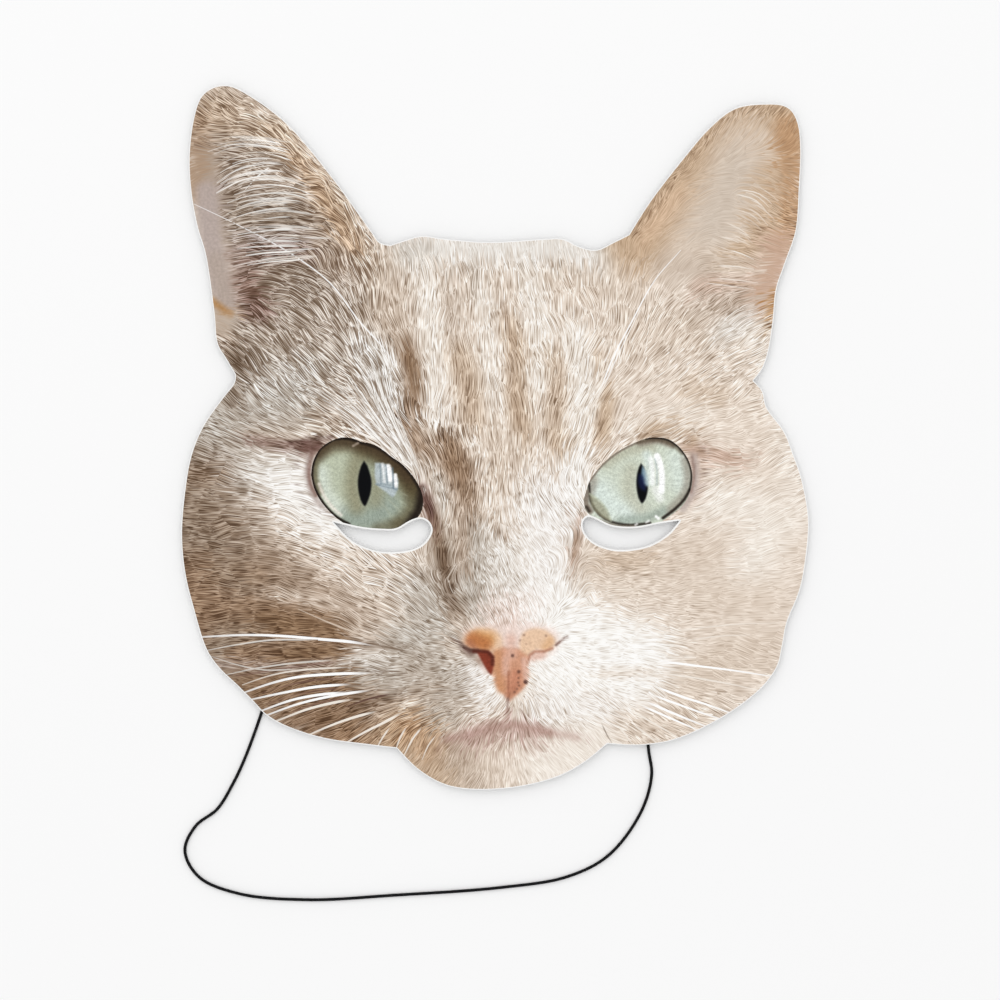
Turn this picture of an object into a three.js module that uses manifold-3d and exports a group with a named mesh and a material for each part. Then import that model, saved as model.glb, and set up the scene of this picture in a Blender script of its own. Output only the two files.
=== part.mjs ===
// A cat's-face party mask: one flat sheet of die-cut printed card with two eye slots, and a thin
// round elastic whose ends are held on the back by two stuck-on pads.
// The mask lies on its back, face up: +X is to the right of the face, +Y points to the ears and
// +Z out of the printed side. The origin is on the table, under the middle of the card's outline.
// All sizes are in millimetres.
import * as THREE from "three";
import { mergeVertices } from "three/addons/utils/BufferGeometryUtils.js";
import Module from "manifold-3d";

// Driving dimensions
const cardThickness = 0.6;
const cordDiameter = 1.0;
const cordSides = 8;
const cordSteps = 80;
const cordClearance = 0.02;
const splineDivisions = 3;

const padWidth = 12;
const padLength = 18;
const padThickness = 1.8;
const padCornerRadius = 2.5;
const padCornerSegments = 6;
const padFromMiddle = 87.5;
const padHeight = -12;
const glueGap = 0.2;

const grooveWidth = 1.4;
const grooveDepth = 1.4;
const grooveLength = 12;
const cordInGroove = 10;

const cardBack = padThickness + glueGap;
const cordOnTable = cordDiameter / 2 + cordClearance;
const cordInPad = padThickness - grooveDepth / 2;
const padMouth = padHeight - padLength / 2;

// Finishes of the blank solids
const cardFinish = { color: 0xd8c4ae, roughness: 0.5, metalness: 0 };
const cordFinish = { color: 0x0b0b0c, roughness: 0.7, metalness: 0 };
const padFinish = { color: 0xf1efea, roughness: 0.8, metalness: 0 };

// Table rows of across and up, as points
function points(rows) {
  return rows.map(([across, up]) => new THREE.Vector2(across, up));
}

// The card's outline, clockwise from the notch under the left ear. Each stretch is one smooth
// curve, and neighbouring stretches meet in a corner. Columns: across, up.
const outlineStretches = [
  {
    name: "left ear",
    rows: [
      [-84.5, 20.5], [-87.5, 25.5], [-90.5, 31.0], [-91.5, 41.0], [-94.0, 58.5], [-97.0, 69.0],
      [-99.0, 80.5], [-99.5, 92.0], [-98.0, 104.0], [-95.0, 111.5], [-88.5, 114.5], [-81.0, 112.0],
      [-67.5, 102.0], [-53.5, 85.5], [-40.5, 67.5], [-37.5, 63.5], [-34.0, 62.5],
    ],
  },
  {
    name: "crown",
    rows: [
      [-34.0, 62.5], [-29.5, 64.0], [-23.5, 65.5], [-16.0, 64.5], [-1.5, 63.5], [16.0, 64.5],
      [22.0, 64.5], [27.5, 62.0], [33.0, 61.0], [38.5, 63.5], [43.5, 66.0],
    ],
  },
  {
    name: "right ear",
    rows: [
      [43.5, 66.0], [50.5, 77.0], [60.5, 90.0], [69.5, 100.5], [78.0, 107.0], [88.0, 108.5],
      [95.0, 107.5], [98.5, 102.5], [99.5, 93.5], [99.0, 80.5], [98.0, 67.5], [94.5, 57.0],
      [91.5, 48.0], [90.5, 38.0], [89.0, 28.5], [87.0, 22.5], [84.0, 18.5],
    ],
  },
  {
    name: "right cheek",
    rows: [
      [84.0, 18.5], [87.0, 15.0], [88.5, 9.5], [94.0, 2.0], [97.0, -5.5], [100.0, -14.5],
      [102.0, -27.0], [101.0, -40.0], [99.0, -50.0], [95.0, -60.0], [93.5, -67.5], [91.5, -75.0],
      [85.0, -83.0], [73.0, -91.5], [59.0, -98.0], [47.0, -100.0], [36.5, -99.5],
    ],
  },
  {
    name: "chin",
    rows: [
      [36.5, -99.5], [29.5, -105.3], [20.5, -110.2], [8.5, -113.4], [-5.0, -114.5],
      [-16.0, -113.0], [-25.0, -108.0], [-32.0, -101.0],
    ],
  },
  {
    name: "left cheek",
    rows: [
      [-32.0, -101.0], [-40.5, -100.0], [-55.0, -98.0], [-66.5, -94.5], [-74.0, -90.5],
      [-79.0, -85.5], [-84.0, -80.5], [-90.0, -74.7], [-94.3, -68.0], [-98.0, -56.0],
      [-101.0, -43.5], [-102.0, -30.0], [-100.5, -14.0], [-98.3, -4.0], [-94.5, 4.5], [-88.5, 13.0],
      [-85.0, 17.5], [-84.5, 20.5],
    ],
  },
];

// The eye slots: crescents under the printed eyes, blunt at the nose end and pointed at the other.
// Each runs counter-clockwise from its pointed tip. Columns: across, up.
const eyeSlots = [
  {
    name: "left",
    rows: [
      [-52.5, -27.5], [-46.5, -33.5], [-38.5, -36.8], [-30.0, -37.0], [-24.0, -35.0], [-21.0, -31.0],
      [-21.5, -28.0], [-24.0, -26.5], [-27.5, -27.5], [-32.0, -30.0], [-37.0, -30.2], [-44.0, -29.5],
      [-52.5, -27.5],
    ],
  },
  {
    name: "right",
    rows: [
      [60.0, -27.0], [53.5, -28.0], [45.5, -29.5], [38.0, -29.0], [32.5, -26.5], [30.0, -25.9],
      [28.5, -28.0], [29.5, -31.5], [33.5, -34.8], [40.5, -36.5], [49.5, -35.2], [56.0, -31.5],
      [60.0, -27.0],
    ],
  },
];

// The elastic's way from pad to pad, on the table: hidden under the card, out below the left cheek,
// round in front of the chin and back under the right cheek. Columns: across, up.
const cordRoute = [
  [-87.5, -33.0], [-86.8, -44.0], [-82.5, -57.0], [-76.0, -69.0], [-73.0, -79.5], [-76.0, -89.5],
  [-81.5, -104.5], [-85.5, -113.0], [-90.5, -121.0], [-97.5, -126.5], [-101.0, -134.5],
  [-96.5, -143.0], [-83.5, -148.5], [-61.0, -150.5], [-32.5, -149.0], [2.0, -146.5], [23.5, -143.0],
  [37.0, -136.0], [47.5, -122.0], [51.0, -110.0], [50.0, -101.5], [49.8, -94.5], [53.0, -87.0],
  [60.5, -78.5], [71.5, -68.5], [81.5, -56.5], [86.5, -44.0], [87.5, -33.0],
];

// A mesh's geometry as a solid for cutting, and back
const wasm = await Module();
wasm.setup();
const weldDistance = 1e-4;

function solidOf(geometry) {
  const bare = geometry.clone();
  bare.deleteAttribute("normal");
  bare.deleteAttribute("uv");
  const merged = mergeVertices(bare, weldDistance);
  return new wasm.Manifold(
    new wasm.Mesh({
      numProp: 3,
      vertProperties: merged.attributes.position.array,
      triVerts: new Uint32Array(merged.index.array),
    }),
  );
}

function geometryOf(solid) {
  const mesh = solid.getMesh();
  const geometry = new THREE.BufferGeometry();
  geometry.setAttribute("position", new THREE.BufferAttribute(mesh.vertProperties, mesh.numProp));
  geometry.setIndex(new THREE.BufferAttribute(mesh.triVerts, 1));
  const flatShaded = geometry.toNonIndexed();
  flatShaded.computeVertexNormals();
  return flatShaded;
}

function namedMesh(name, geometry, finish) {
  const mesh = new THREE.Mesh(geometry, new THREE.MeshStandardMaterial(finish));
  mesh.name = name;
  return mesh;
}

// One closed path of smooth stretches
function smoothPath(path, stretches) {
  const first = points(stretches[0].rows)[0];
  path.moveTo(first.x, first.y);
  for (const stretch of stretches) {
    path.splineThru(points(stretch.rows).slice(1));
  }
  return path;
}

// The printed card, with its outline and eye slots cut right through
function maskCard() {
  const outline = smoothPath(new THREE.Shape(), outlineStretches);
  outline.holes = eyeSlots.map((slot) => smoothPath(new THREE.Path(), [slot]));
  const geometry = new THREE.ExtrudeGeometry(outline, {
    depth: cardThickness,
    curveSegments: splineDivisions,
    bevelEnabled: false,
  });
  const card = namedMesh("mask_card", geometry, cardFinish);
  card.position.z = cardBack;
  return card;
}

// A rectangle with round corners, centred on the origin
function roundedRectangle(width, length, radius) {
  const x = width / 2 - radius;
  const y = length / 2 - radius;
  const quarter = Math.PI / 2;
  const shape = new THREE.Shape();
  shape.absarc(x, y, radius, 0, quarter);
  shape.absarc(-x, y, radius, quarter, 2 * quarter);
  shape.absarc(-x, -y, radius, 2 * quarter, 3 * quarter);
  shape.absarc(x, -y, radius, 3 * quarter, 4 * quarter);
  shape.closePath();
  return shape;
}

// A pad stuck to the card's back, with a groove on its upper side that takes the elastic's end
function cordPad(name, side) {
  const padBlank = new THREE.ExtrudeGeometry(roundedRectangle(padWidth, padLength, padCornerRadius), {
    depth: padThickness,
    curveSegments: padCornerSegments,
    bevelEnabled: false,
  });
  const overrun = 1;
  const cutter = new THREE.BoxGeometry(grooveWidth, grooveLength + overrun, grooveDepth + overrun);
  cutter.translate(
    0,
    (grooveLength - overrun - padLength) / 2,
    padThickness - grooveDepth / 2 + overrun / 2,
  );
  const grooved = solidOf(padBlank).subtract(solidOf(cutter));
  const pad = namedMesh(name, geometryOf(grooved), padFinish);
  pad.position.set(side * padFromMiddle, padHeight, 0);
  return pad;
}

// The elastic: straight out of one pad, down on the table, round and up into the other pad
function elasticCord() {
  const intoPad = (side) => [
    new THREE.Vector3(side * padFromMiddle, padMouth + cordInGroove, cordInPad),
    new THREE.Vector3(side * padFromMiddle, padMouth + cordInGroove / 2, cordInPad),
    new THREE.Vector3(side * padFromMiddle, padMouth - cordDiameter, cordInPad),
  ];
  const onTable = cordRoute.map(([across, up]) => new THREE.Vector3(across, up, cordOnTable));
  const way = new THREE.CatmullRomCurve3([...intoPad(-1), ...onTable, ...intoPad(1).reverse()]);
  const section = new THREE.Shape();
  for (let i = 0; i < cordSides; i += 1) {
    const turn = ((i + 0.5) / cordSides) * 2 * Math.PI;
    const corner = [Math.cos(turn), Math.sin(turn)].map((c) => (c * cordDiameter) / 2);
    if (i === 0) {
      section.moveTo(...corner);
    } else {
      section.lineTo(...corner);
    }
  }
  section.closePath();
  const geometry = new THREE.ExtrudeGeometry(section, { steps: cordSteps, extrudePath: way });
  return namedMesh("elastic_cord", geometry, cordFinish);
}

const mask = new THREE.Group();
mask.add(maskCard());
mask.add(cordPad("cord_pad_left", -1));
mask.add(cordPad("cord_pad_right", 1));
mask.add(elasticCord());

export default mask;
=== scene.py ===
# A cat's-face party mask of printed card, lying face up, with a thin black elastic.
import math

import bpy
import numpy as np
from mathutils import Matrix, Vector
from mathutils.geometry import delaunay_2d_cdt


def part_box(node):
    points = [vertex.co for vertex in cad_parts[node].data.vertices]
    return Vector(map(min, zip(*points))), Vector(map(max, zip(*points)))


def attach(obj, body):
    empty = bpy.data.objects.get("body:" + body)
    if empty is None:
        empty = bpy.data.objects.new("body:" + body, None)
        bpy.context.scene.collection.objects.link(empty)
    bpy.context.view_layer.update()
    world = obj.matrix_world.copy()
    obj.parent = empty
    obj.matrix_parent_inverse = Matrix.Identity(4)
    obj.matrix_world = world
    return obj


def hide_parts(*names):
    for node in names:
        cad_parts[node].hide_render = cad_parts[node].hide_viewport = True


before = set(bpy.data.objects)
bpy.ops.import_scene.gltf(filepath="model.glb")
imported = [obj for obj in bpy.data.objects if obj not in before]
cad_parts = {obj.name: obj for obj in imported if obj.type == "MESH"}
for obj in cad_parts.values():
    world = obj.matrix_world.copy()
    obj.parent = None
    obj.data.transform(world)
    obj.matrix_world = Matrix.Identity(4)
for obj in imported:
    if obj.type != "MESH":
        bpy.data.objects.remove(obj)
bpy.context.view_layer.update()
scene = bpy.context.scene
cardLow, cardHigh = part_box("mask_card")

# The print is laid out in steps, counted right and down from the corner of its square sheet
layout = {"step": 0.000325, "middle": (495.0, 437.5), "side": 1000}


def toMetres(steps):
    steps = np.asarray(steps, float)
    away = (steps - layout["middle"]) * layout["step"]
    return away * (1, -1)


def toSteps(metres):
    return np.asarray(metres, float) * (1, -1) / layout["step"] + layout["middle"]


# A smooth line through points, with a point at least every pitch
def smoothLine(points, pitch):
    p = np.asarray(points, float)
    if len(p) < 2:
        return p
    p = np.vstack([2 * p[0] - p[1], p, 2 * p[-1] - p[-2]])
    knots = np.concatenate([[0], np.cumsum(np.sqrt(np.linalg.norm(np.diff(p, axis=0), axis=1)))])
    line = []
    for i in range(1, len(p) - 2):
        count = max(1, math.ceil(np.linalg.norm(p[i + 1] - p[i]) / pitch))
        t = (knots[i] + (knots[i + 1] - knots[i]) * np.arange(count) / count)[:, None]

        def between(a, b, j, k):
            return ((knots[k] - t) * a + (t - knots[j]) * b) / (knots[k] - knots[j])

        first = [between(p[j], p[j + 1], j, j + 1) for j in (i - 1, i, i + 1)]
        second = [between(first[j], first[j + 1], i - 1 + j, i + 1 + j) for j in (0, 1)]
        line.append(between(second[0], second[1], i, i + 1))
    line.append(p[-2][None])
    return np.vstack(line)


# Camera, straight above the print's sheet

cameraView = {"height": 1.0, "sensor": 36.0}


def makeCamera():
    sheetSide = layout["side"] * layout["step"]
    data = bpy.data.cameras.new("camera")
    data.sensor_width = cameraView["sensor"]
    data.lens = cameraView["sensor"] * cameraView["height"] / sheetSide
    camera = bpy.data.objects.new("camera", data)
    over = toMetres((layout["side"] / 2, layout["side"] / 2))
    camera.location = (over[0], over[1], cardHigh.z + cameraView["height"])
    scene.collection.objects.link(camera)
    scene.camera = camera


makeCamera()
print("camera in place")


# Node helpers: a value or a socket goes into an input

def feed(tree, target, source):
    if isinstance(source, bpy.types.NodeSocket):
        tree.links.new(source, target)
    else:
        target.default_value = source


def addNode(tree, kind, inputs=None, **settings):
    node = tree.nodes.new(kind)
    for key, value in settings.items():
        setattr(node, key, value)
    for key, value in (inputs or {}).items():
        feed(tree, node.inputs[key], value)
    return node


def calc(tree, operation, *values, clamp=False):
    node = addNode(tree, "ShaderNodeMath", operation=operation, use_clamp=clamp)
    for socket, value in zip(node.inputs, values):
        feed(tree, socket, value)
    return node.outputs[0]


def vector(tree, operation, a, b=None, scale=None):
    node = addNode(tree, "ShaderNodeVectorMath", operation=operation)
    feed(tree, node.inputs[0], a)
    if b is not None:
        feed(tree, node.inputs[1], b)
    if scale is not None:
        feed(tree, node.inputs["Scale"], scale)
    return node.outputs["Value" if operation == "LENGTH" else "Vector"]


def combine(tree, x, y, z=0.0):
    return addNode(tree, "ShaderNodeCombineXYZ", {"X": x, "Y": y, "Z": z}).outputs[0]


def separate(tree, source):
    return addNode(tree, "ShaderNodeSeparateXYZ", {"Vector": source}).outputs


def fade(tree, value, low, high, toLow=0.0, toHigh=1.0):
    ends = {"Value": value, "From Min": low, "From Max": high, "To Min": toLow, "To Max": toHigh}
    return addNode(tree, "ShaderNodeMapRange", ends, interpolation_type="SMOOTHSTEP").outputs["Result"]


def mixColour(tree, factor, a, b):
    node = addNode(tree, "ShaderNodeMix", data_type="RGBA")
    for index, source in ((0, factor), (6, a), (7, b)):
        feed(tree, node.inputs[index], source)
    return node.outputs[2]


def attribute(tree, name):
    return addNode(tree, "ShaderNodeAttribute", attribute_name=name).outputs


def noise(tree, place, scale, detail=2.0, flat=True):
    sockets = {"Vector": place, "Scale": scale, "Detail": detail}
    return addNode(tree, "ShaderNodeTexNoise", sockets, noise_dimensions="2D" if flat else "3D").outputs


def newMaterial(name, **sockets):
    material = bpy.data.materials.new(name)
    material.use_nodes = True
    tree = material.node_tree
    shader = tree.nodes["Principled BSDF"]
    for key, value in sockets.items():
        shader.inputs[key.replace("_", " ")].default_value = value
    return material, tree, shader


def newGroup(name, inputs, outputs):
    group = bpy.data.node_groups.new(name, "ShaderNodeTree")
    kinds = {"vector": "NodeSocketVector", "value": "NodeSocketFloat", "colour": "NodeSocketColor"}
    for label, kind in inputs:
        group.interface.new_socket(label, in_out="INPUT", socket_type=kinds[kind])
    for label, kind in outputs:
        group.interface.new_socket(label, in_out="OUTPUT", socket_type=kinds[kind])
    return group, group.nodes.new("NodeGroupInput").outputs, group.nodes.new("NodeGroupOutput").inputs


def placeGroup(tree, group, **inputs):
    node = addNode(tree, "ShaderNodeGroup", node_tree=group)
    for key, value in inputs.items():
        feed(tree, node.inputs[key], value)
    return node.outputs


def millimetres(tree):
    place = addNode(tree, "ShaderNodeTexCoord").outputs["Object"]
    return vector(tree, "SCALE", place, scale=1000.0)


# Paper surface: a fine tooth for the bump and an uneven sheen for the roughness

paperSurface = {
    "patches": 0.09,    # uneven patches to a millimetre
    "grain": 0.12,      # how far the tooth changes the roughness
    "bump": 0.25,
}


def makePaperGroup():
    group, given, out = newGroup(
        "paperSurface",
        [("Place", "vector"), ("Tooth", "value"), ("Sheen", "value"), ("Unevenness", "value")],
        [("Roughness", "value"), ("Height", "value"), ("Mottle", "value")],
    )
    tooth = noise(group, given["Place"], given["Tooth"], 3.0, flat=False)[0]
    patches = noise(group, given["Place"], paperSurface["patches"], 2.0, flat=False)[0]
    uneven = calc(group, "MULTIPLY", calc(group, "SUBTRACT", patches, 0.5), given["Unevenness"])
    grain = calc(group, "MULTIPLY", calc(group, "SUBTRACT", tooth, 0.5), paperSurface["grain"])
    rough = calc(group, "ADD", given["Sheen"], calc(group, "ADD", uneven, grain), clamp=True)
    feed(group, out["Roughness"], rough)
    feed(group, out["Height"], tooth)
    feed(group, out["Mottle"], patches)
    return group


paperGroup = makePaperGroup()


def addBump(tree, shader, height, strength, depth):
    bump = addNode(tree, "ShaderNodeBump", {"Height": height, "Strength": strength, "Distance": depth})
    feed(tree, shader.inputs["Normal"], bump.outputs[0])


def paperFinish(tree, shader, place, look):
    paper = placeGroup(tree, paperGroup, Place=place, Tooth=look["tooth"], Sheen=look["sheen"],
                       Unevenness=look["unevenness"])
    feed(tree, shader.inputs["Roughness"], paper["Roughness"])
    addBump(tree, shader, paper["Height"], paperSurface["bump"], look["depth"])
    return paper


# Colour of plain stock, from its patches and its own grain
def plainColour(tree, shader, paper, grain, look):
    shade = calc(tree, "MULTIPLY", calc(tree, "ADD", paper["Mottle"], grain), 0.5)
    colour = mixColour(tree, fade(tree, shade, *look["shades"]), look["dark"], look["light"])
    feed(tree, shader.inputs["Base Color"], colour)


# Elastic: a fine round braid from pad to pad, first inside a pad, then along the table

elastic = {
    "diameter": 0.001,
    "sides": 14,
    "pitch": 0.0003,      # between rings
    "strands": 4,         # each way round
    "lay": 0.0032,        # one strand's turn along the cord
    "relief": 0.05,       # of the radius
    "onTable": 0.00052,
    "inPad": 0.0011,
    "padAcross": 0.0875,
    "padMouth": -0.021,
    "insidePad": (0.010, 0.005, -0.001),   # past the pad's mouth, from the cord's end outwards
    "specular": 0.08,
    # painted shade: the grooves between the strands get a darker colour than the strands themselves
    "grooveShade": (0.0022, 0.0022, 0.0025, 1),   # colour between the strands
    "raised": (0.011, 0.011, 0.012, 1),    # and on them
    "fuzz": 9.0,                           # fibres to a millimetre
    "fuzzShades": (0.2, 0.8),
    "fuzzDepth": 0.00003,
    "fuzzBump": 0.3,
    "roughness": (0.6, 0.85),
}
elasticWay = [
    (-0.0875, -0.0330), (-0.0868, -0.0440), (-0.0825, -0.0570), (-0.0760, -0.0690), (-0.0730, -0.0795),
    (-0.0760, -0.0895), (-0.0815, -0.1045), (-0.0855, -0.1130), (-0.0905, -0.1210), (-0.0975, -0.1265),
    (-0.1010, -0.1345), (-0.0965, -0.1430), (-0.0835, -0.1485), (-0.0610, -0.1505), (-0.0325, -0.1490),
    (0.0020, -0.1465), (0.0235, -0.1430), (0.0370, -0.1360), (0.0475, -0.1220), (0.0510, -0.1100),
    (0.0500, -0.1015), (0.0498, -0.0945), (0.0530, -0.0870), (0.0605, -0.0785), (0.0715, -0.0685),
    (0.0815, -0.0565), (0.0865, -0.0440), (0.0875, -0.0330),
]


def makeElastic():
    def intoPad(side):
        across = side * elastic["padAcross"]
        return [(across, elastic["padMouth"] + past, elastic["inPad"]) for past in elastic["insidePad"]]

    table = [(x, y, elastic["onTable"]) for x, y in elasticWay]
    way = smoothLine(intoPad(-1) + table + intoPad(1)[::-1], elastic["pitch"])
    steps = np.linalg.norm(np.diff(way, axis=0), axis=1)
    run = np.concatenate([[0], np.cumsum(steps)])
    ahead = np.gradient(way, axis=0)
    ahead /= np.linalg.norm(ahead, axis=1)[:, None]
    side = np.cross(ahead, (0, 0, 1.0))
    side /= np.linalg.norm(side, axis=1)[:, None]
    up = np.cross(side, ahead)
    sides = elastic["sides"]
    turn = 2 * math.pi * np.arange(sides) / sides
    strand = elastic["strands"]
    wind = 2 * math.pi * run[:, None] / elastic["lay"]
    left = np.abs(np.sin(strand / 2 * (turn[None] + wind)))
    right = np.abs(np.sin(strand / 2 * (turn[None] - wind)))
    braid = np.maximum(left, right)
    radius = elastic["diameter"] / 2 * (1 - elastic["relief"] * (1 - braid))
    ring = np.cos(turn)[None, :, None] * side[:, None] + np.sin(turn)[None, :, None] * up[:, None]
    verts = (way[:, None] + radius[..., None] * ring).reshape(-1, 3)
    faces = []
    for i in range(len(way) - 1):
        for j in range(sides):
            k = (j + 1) % sides
            faces.append((i * sides + k, i * sides + j, (i + 1) * sides + j, (i + 1) * sides + k))
    last = (len(way) - 1) * sides
    faces.append(tuple(range(sides)))
    faces.append(tuple(last + j for j in reversed(range(sides))))
    mesh = bpy.data.meshes.new("elastic")
    mesh.from_pydata(verts.tolist(), [], faces)
    mesh.polygons.foreach_set("use_smooth", [True] * len(faces))
    mesh.attributes.new("braid", "FLOAT", "POINT").data.foreach_set("value", braid.ravel().astype(np.float32))
    cord = bpy.data.objects.new("elastic", mesh)
    scene.collection.objects.link(cord)
    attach(cord, "root")
    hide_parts("elastic_cord")
    print("elastic", round(float(run[-1]), 4), "m long,", len(faces), "faces")
    return cord


def elasticMaterial():
    material, tree, shader = newMaterial("elasticBraid", Specular_IOR_Level=elastic["specular"])
    braid = attribute(tree, "braid")["Fac"]
    fuzz = noise(tree, millimetres(tree), elastic["fuzz"], 2.0, flat=False)[0]
    # painted shade: the braid's grooves are coloured darker than its raised strands, with the fibre noise on
    # top
    shade = calc(tree, "MULTIPLY", braid, fade(tree, fuzz, *elastic["fuzzShades"], 0.5, 1.0))
    feed(tree, shader.inputs["Base Color"], mixColour(tree, shade, elastic["grooveShade"], elastic["raised"]))
    rough = fade(tree, fuzz, *elastic["fuzzShades"], *elastic["roughness"])
    feed(tree, shader.inputs["Roughness"], rough)
    addBump(tree, shader, fuzz, elastic["fuzzBump"], elastic["fuzzDepth"])
    return material


makeElastic().data.materials.append(elasticMaterial())


# Paint. A stroke is a tone, its strength, its width, its blur and the line that it follows, in steps

tones = {
    "frost": (251, 249, 245), "pearl": (229, 225, 219), "ivory": (240, 232, 222), "cream": (229, 215, 201),
    "beige": (214, 197, 180), "sand": (197, 180, 164), "fawn": (184, 164, 146), "taupe": (170, 153, 138),
    "stone": (187, 178, 167), "dun": (149, 131, 114), "umber": (149, 121, 97), "brown": (131, 102, 76),
    "bark": (104, 80, 61), "tan": (194, 167, 139), "ochre": (186, 148, 113), "amber": (172, 122, 66),
    "rose": (200, 170, 152), "lilac": (178, 163, 156), "mauve": (124, 94, 84), "plum": (92, 64, 56),
    "salmon": (204, 148, 118), "orange": (190, 118, 64), "peach": (229, 194, 163), "blush": (234, 213, 203),
    "rust": (164, 106, 82), "wine": (130, 58, 41), "clot": (86, 38, 28), "freckle": (88, 58, 50),
    "lip": (178, 146, 135), "white": (255, 255, 255), "black": (5, 6, 9), "rim": (28, 20, 15),
    "lid": (70, 55, 38), "olive": (88, 78, 54), "moss": (146, 143, 117), "sage": (187, 193, 171),
    "mint": (209, 217, 204), "fern": (160, 166, 143), "teal": (150, 162, 151), "glass": (182, 193, 198),
    "pane": (150, 165, 172), "aqua": (217, 228, 221), "jade": (205, 212, 196), "smoke": (128, 115, 103),
    "blue": (112, 142, 163), "willow": (182, 182, 162), "snow": (244, 240, 236), "navy": (20, 30, 66),
    "gold": (207, 150, 92), "apricot": (200, 144, 106), "petal": (220, 178, 160), "coral": (194, 131, 104),
    "slate": (98, 114, 126),
}
linePitch = {"stroke": 9.0, "shape": 4.0, "hair": 8.0, "eye": 3.0}  # between points of a line, in steps
lineSpare = 4  # how far a smooth line may swing out of its points


def tone(name):
    return np.array(tones[name], float) / 255


# From a screen colour to light
def toLinear(colour):
    c = np.clip(colour, 0, 1)
    return np.where(c <= 0.04045, c / 12.92, ((c + 0.055) / 1.055) ** 2.4)


def lineDistance(spots, line):
    nearest = np.full(len(spots), np.inf)
    for a, b in zip(line[:-1], line[1:]):
        along = b - a
        share = np.clip((spots - a) @ along / max(along @ along, 1e-9), 0, 1)
        nearest = np.minimum(nearest, np.linalg.norm(spots - a - share[:, None] * along, axis=1))
    return nearest


def softEdge(inside, blur):
    share = np.clip(inside / blur + 0.5, 0, 1)
    return share * share * (3 - 2 * share)


def strokeCover(spots, width, blur, points):
    line = smoothLine(points, linePitch["stroke"])
    if len(line) == 1:
        return softEdge(width / 2 - np.linalg.norm(spots - line[0], axis=1), blur)
    return softEdge(width / 2 - lineDistance(spots, line), blur)


def shapeCover(spots, blur, points):
    ring = smoothLine(list(points) + [points[0]], linePitch["shape"])
    inside = np.zeros(len(spots), bool)
    x, y = spots.T
    for (ax, ay), (bx, by) in zip(ring[:-1], ring[1:]):
        if ay != by:
            inside ^= ((ay > y) != (by > y)) & (x < (bx - ax) * (y - ay) / (by - ay) + ax)
    edge = lineDistance(spots, ring)
    return softEdge(np.where(inside, edge, -edge), blur)


def nearTo(spots, points, reach):
    p = np.asarray(points, float)
    return np.flatnonzero(((spots > p.min(0) - reach) & (spots < p.max(0) + reach)).all(1))


def layStrokes(paint, spots, rows):
    for name, strength, width, blur, points in rows:
        near = nearTo(spots, points, (width + blur) / 2 + lineSpare)
        cover = strength * strokeCover(spots[near], width, blur, points)
        paint[near] += (tone(name) - paint[near]) * cover[:, None]


def layShapes(paint, spots, rows):
    for name, strength, blur, points in rows:
        near = nearTo(spots, points, blur + lineSpare)
        cover = strength * shapeCover(spots[near], blur, points)
        paint[near] += (tone(name) - paint[near]) * cover[:, None]


# A plain value over the print: rows of the value, width, blur and line, over a start value
def layValues(spots, start, rows):
    values = np.full(len(spots), float(start))
    for value, width, blur, points in rows:
        near = nearTo(spots, points, (width + blur) / 2 + lineSpare)
        values[near] += (value - values[near]) * strokeCover(spots[near], width, blur, points)
    return values


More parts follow.
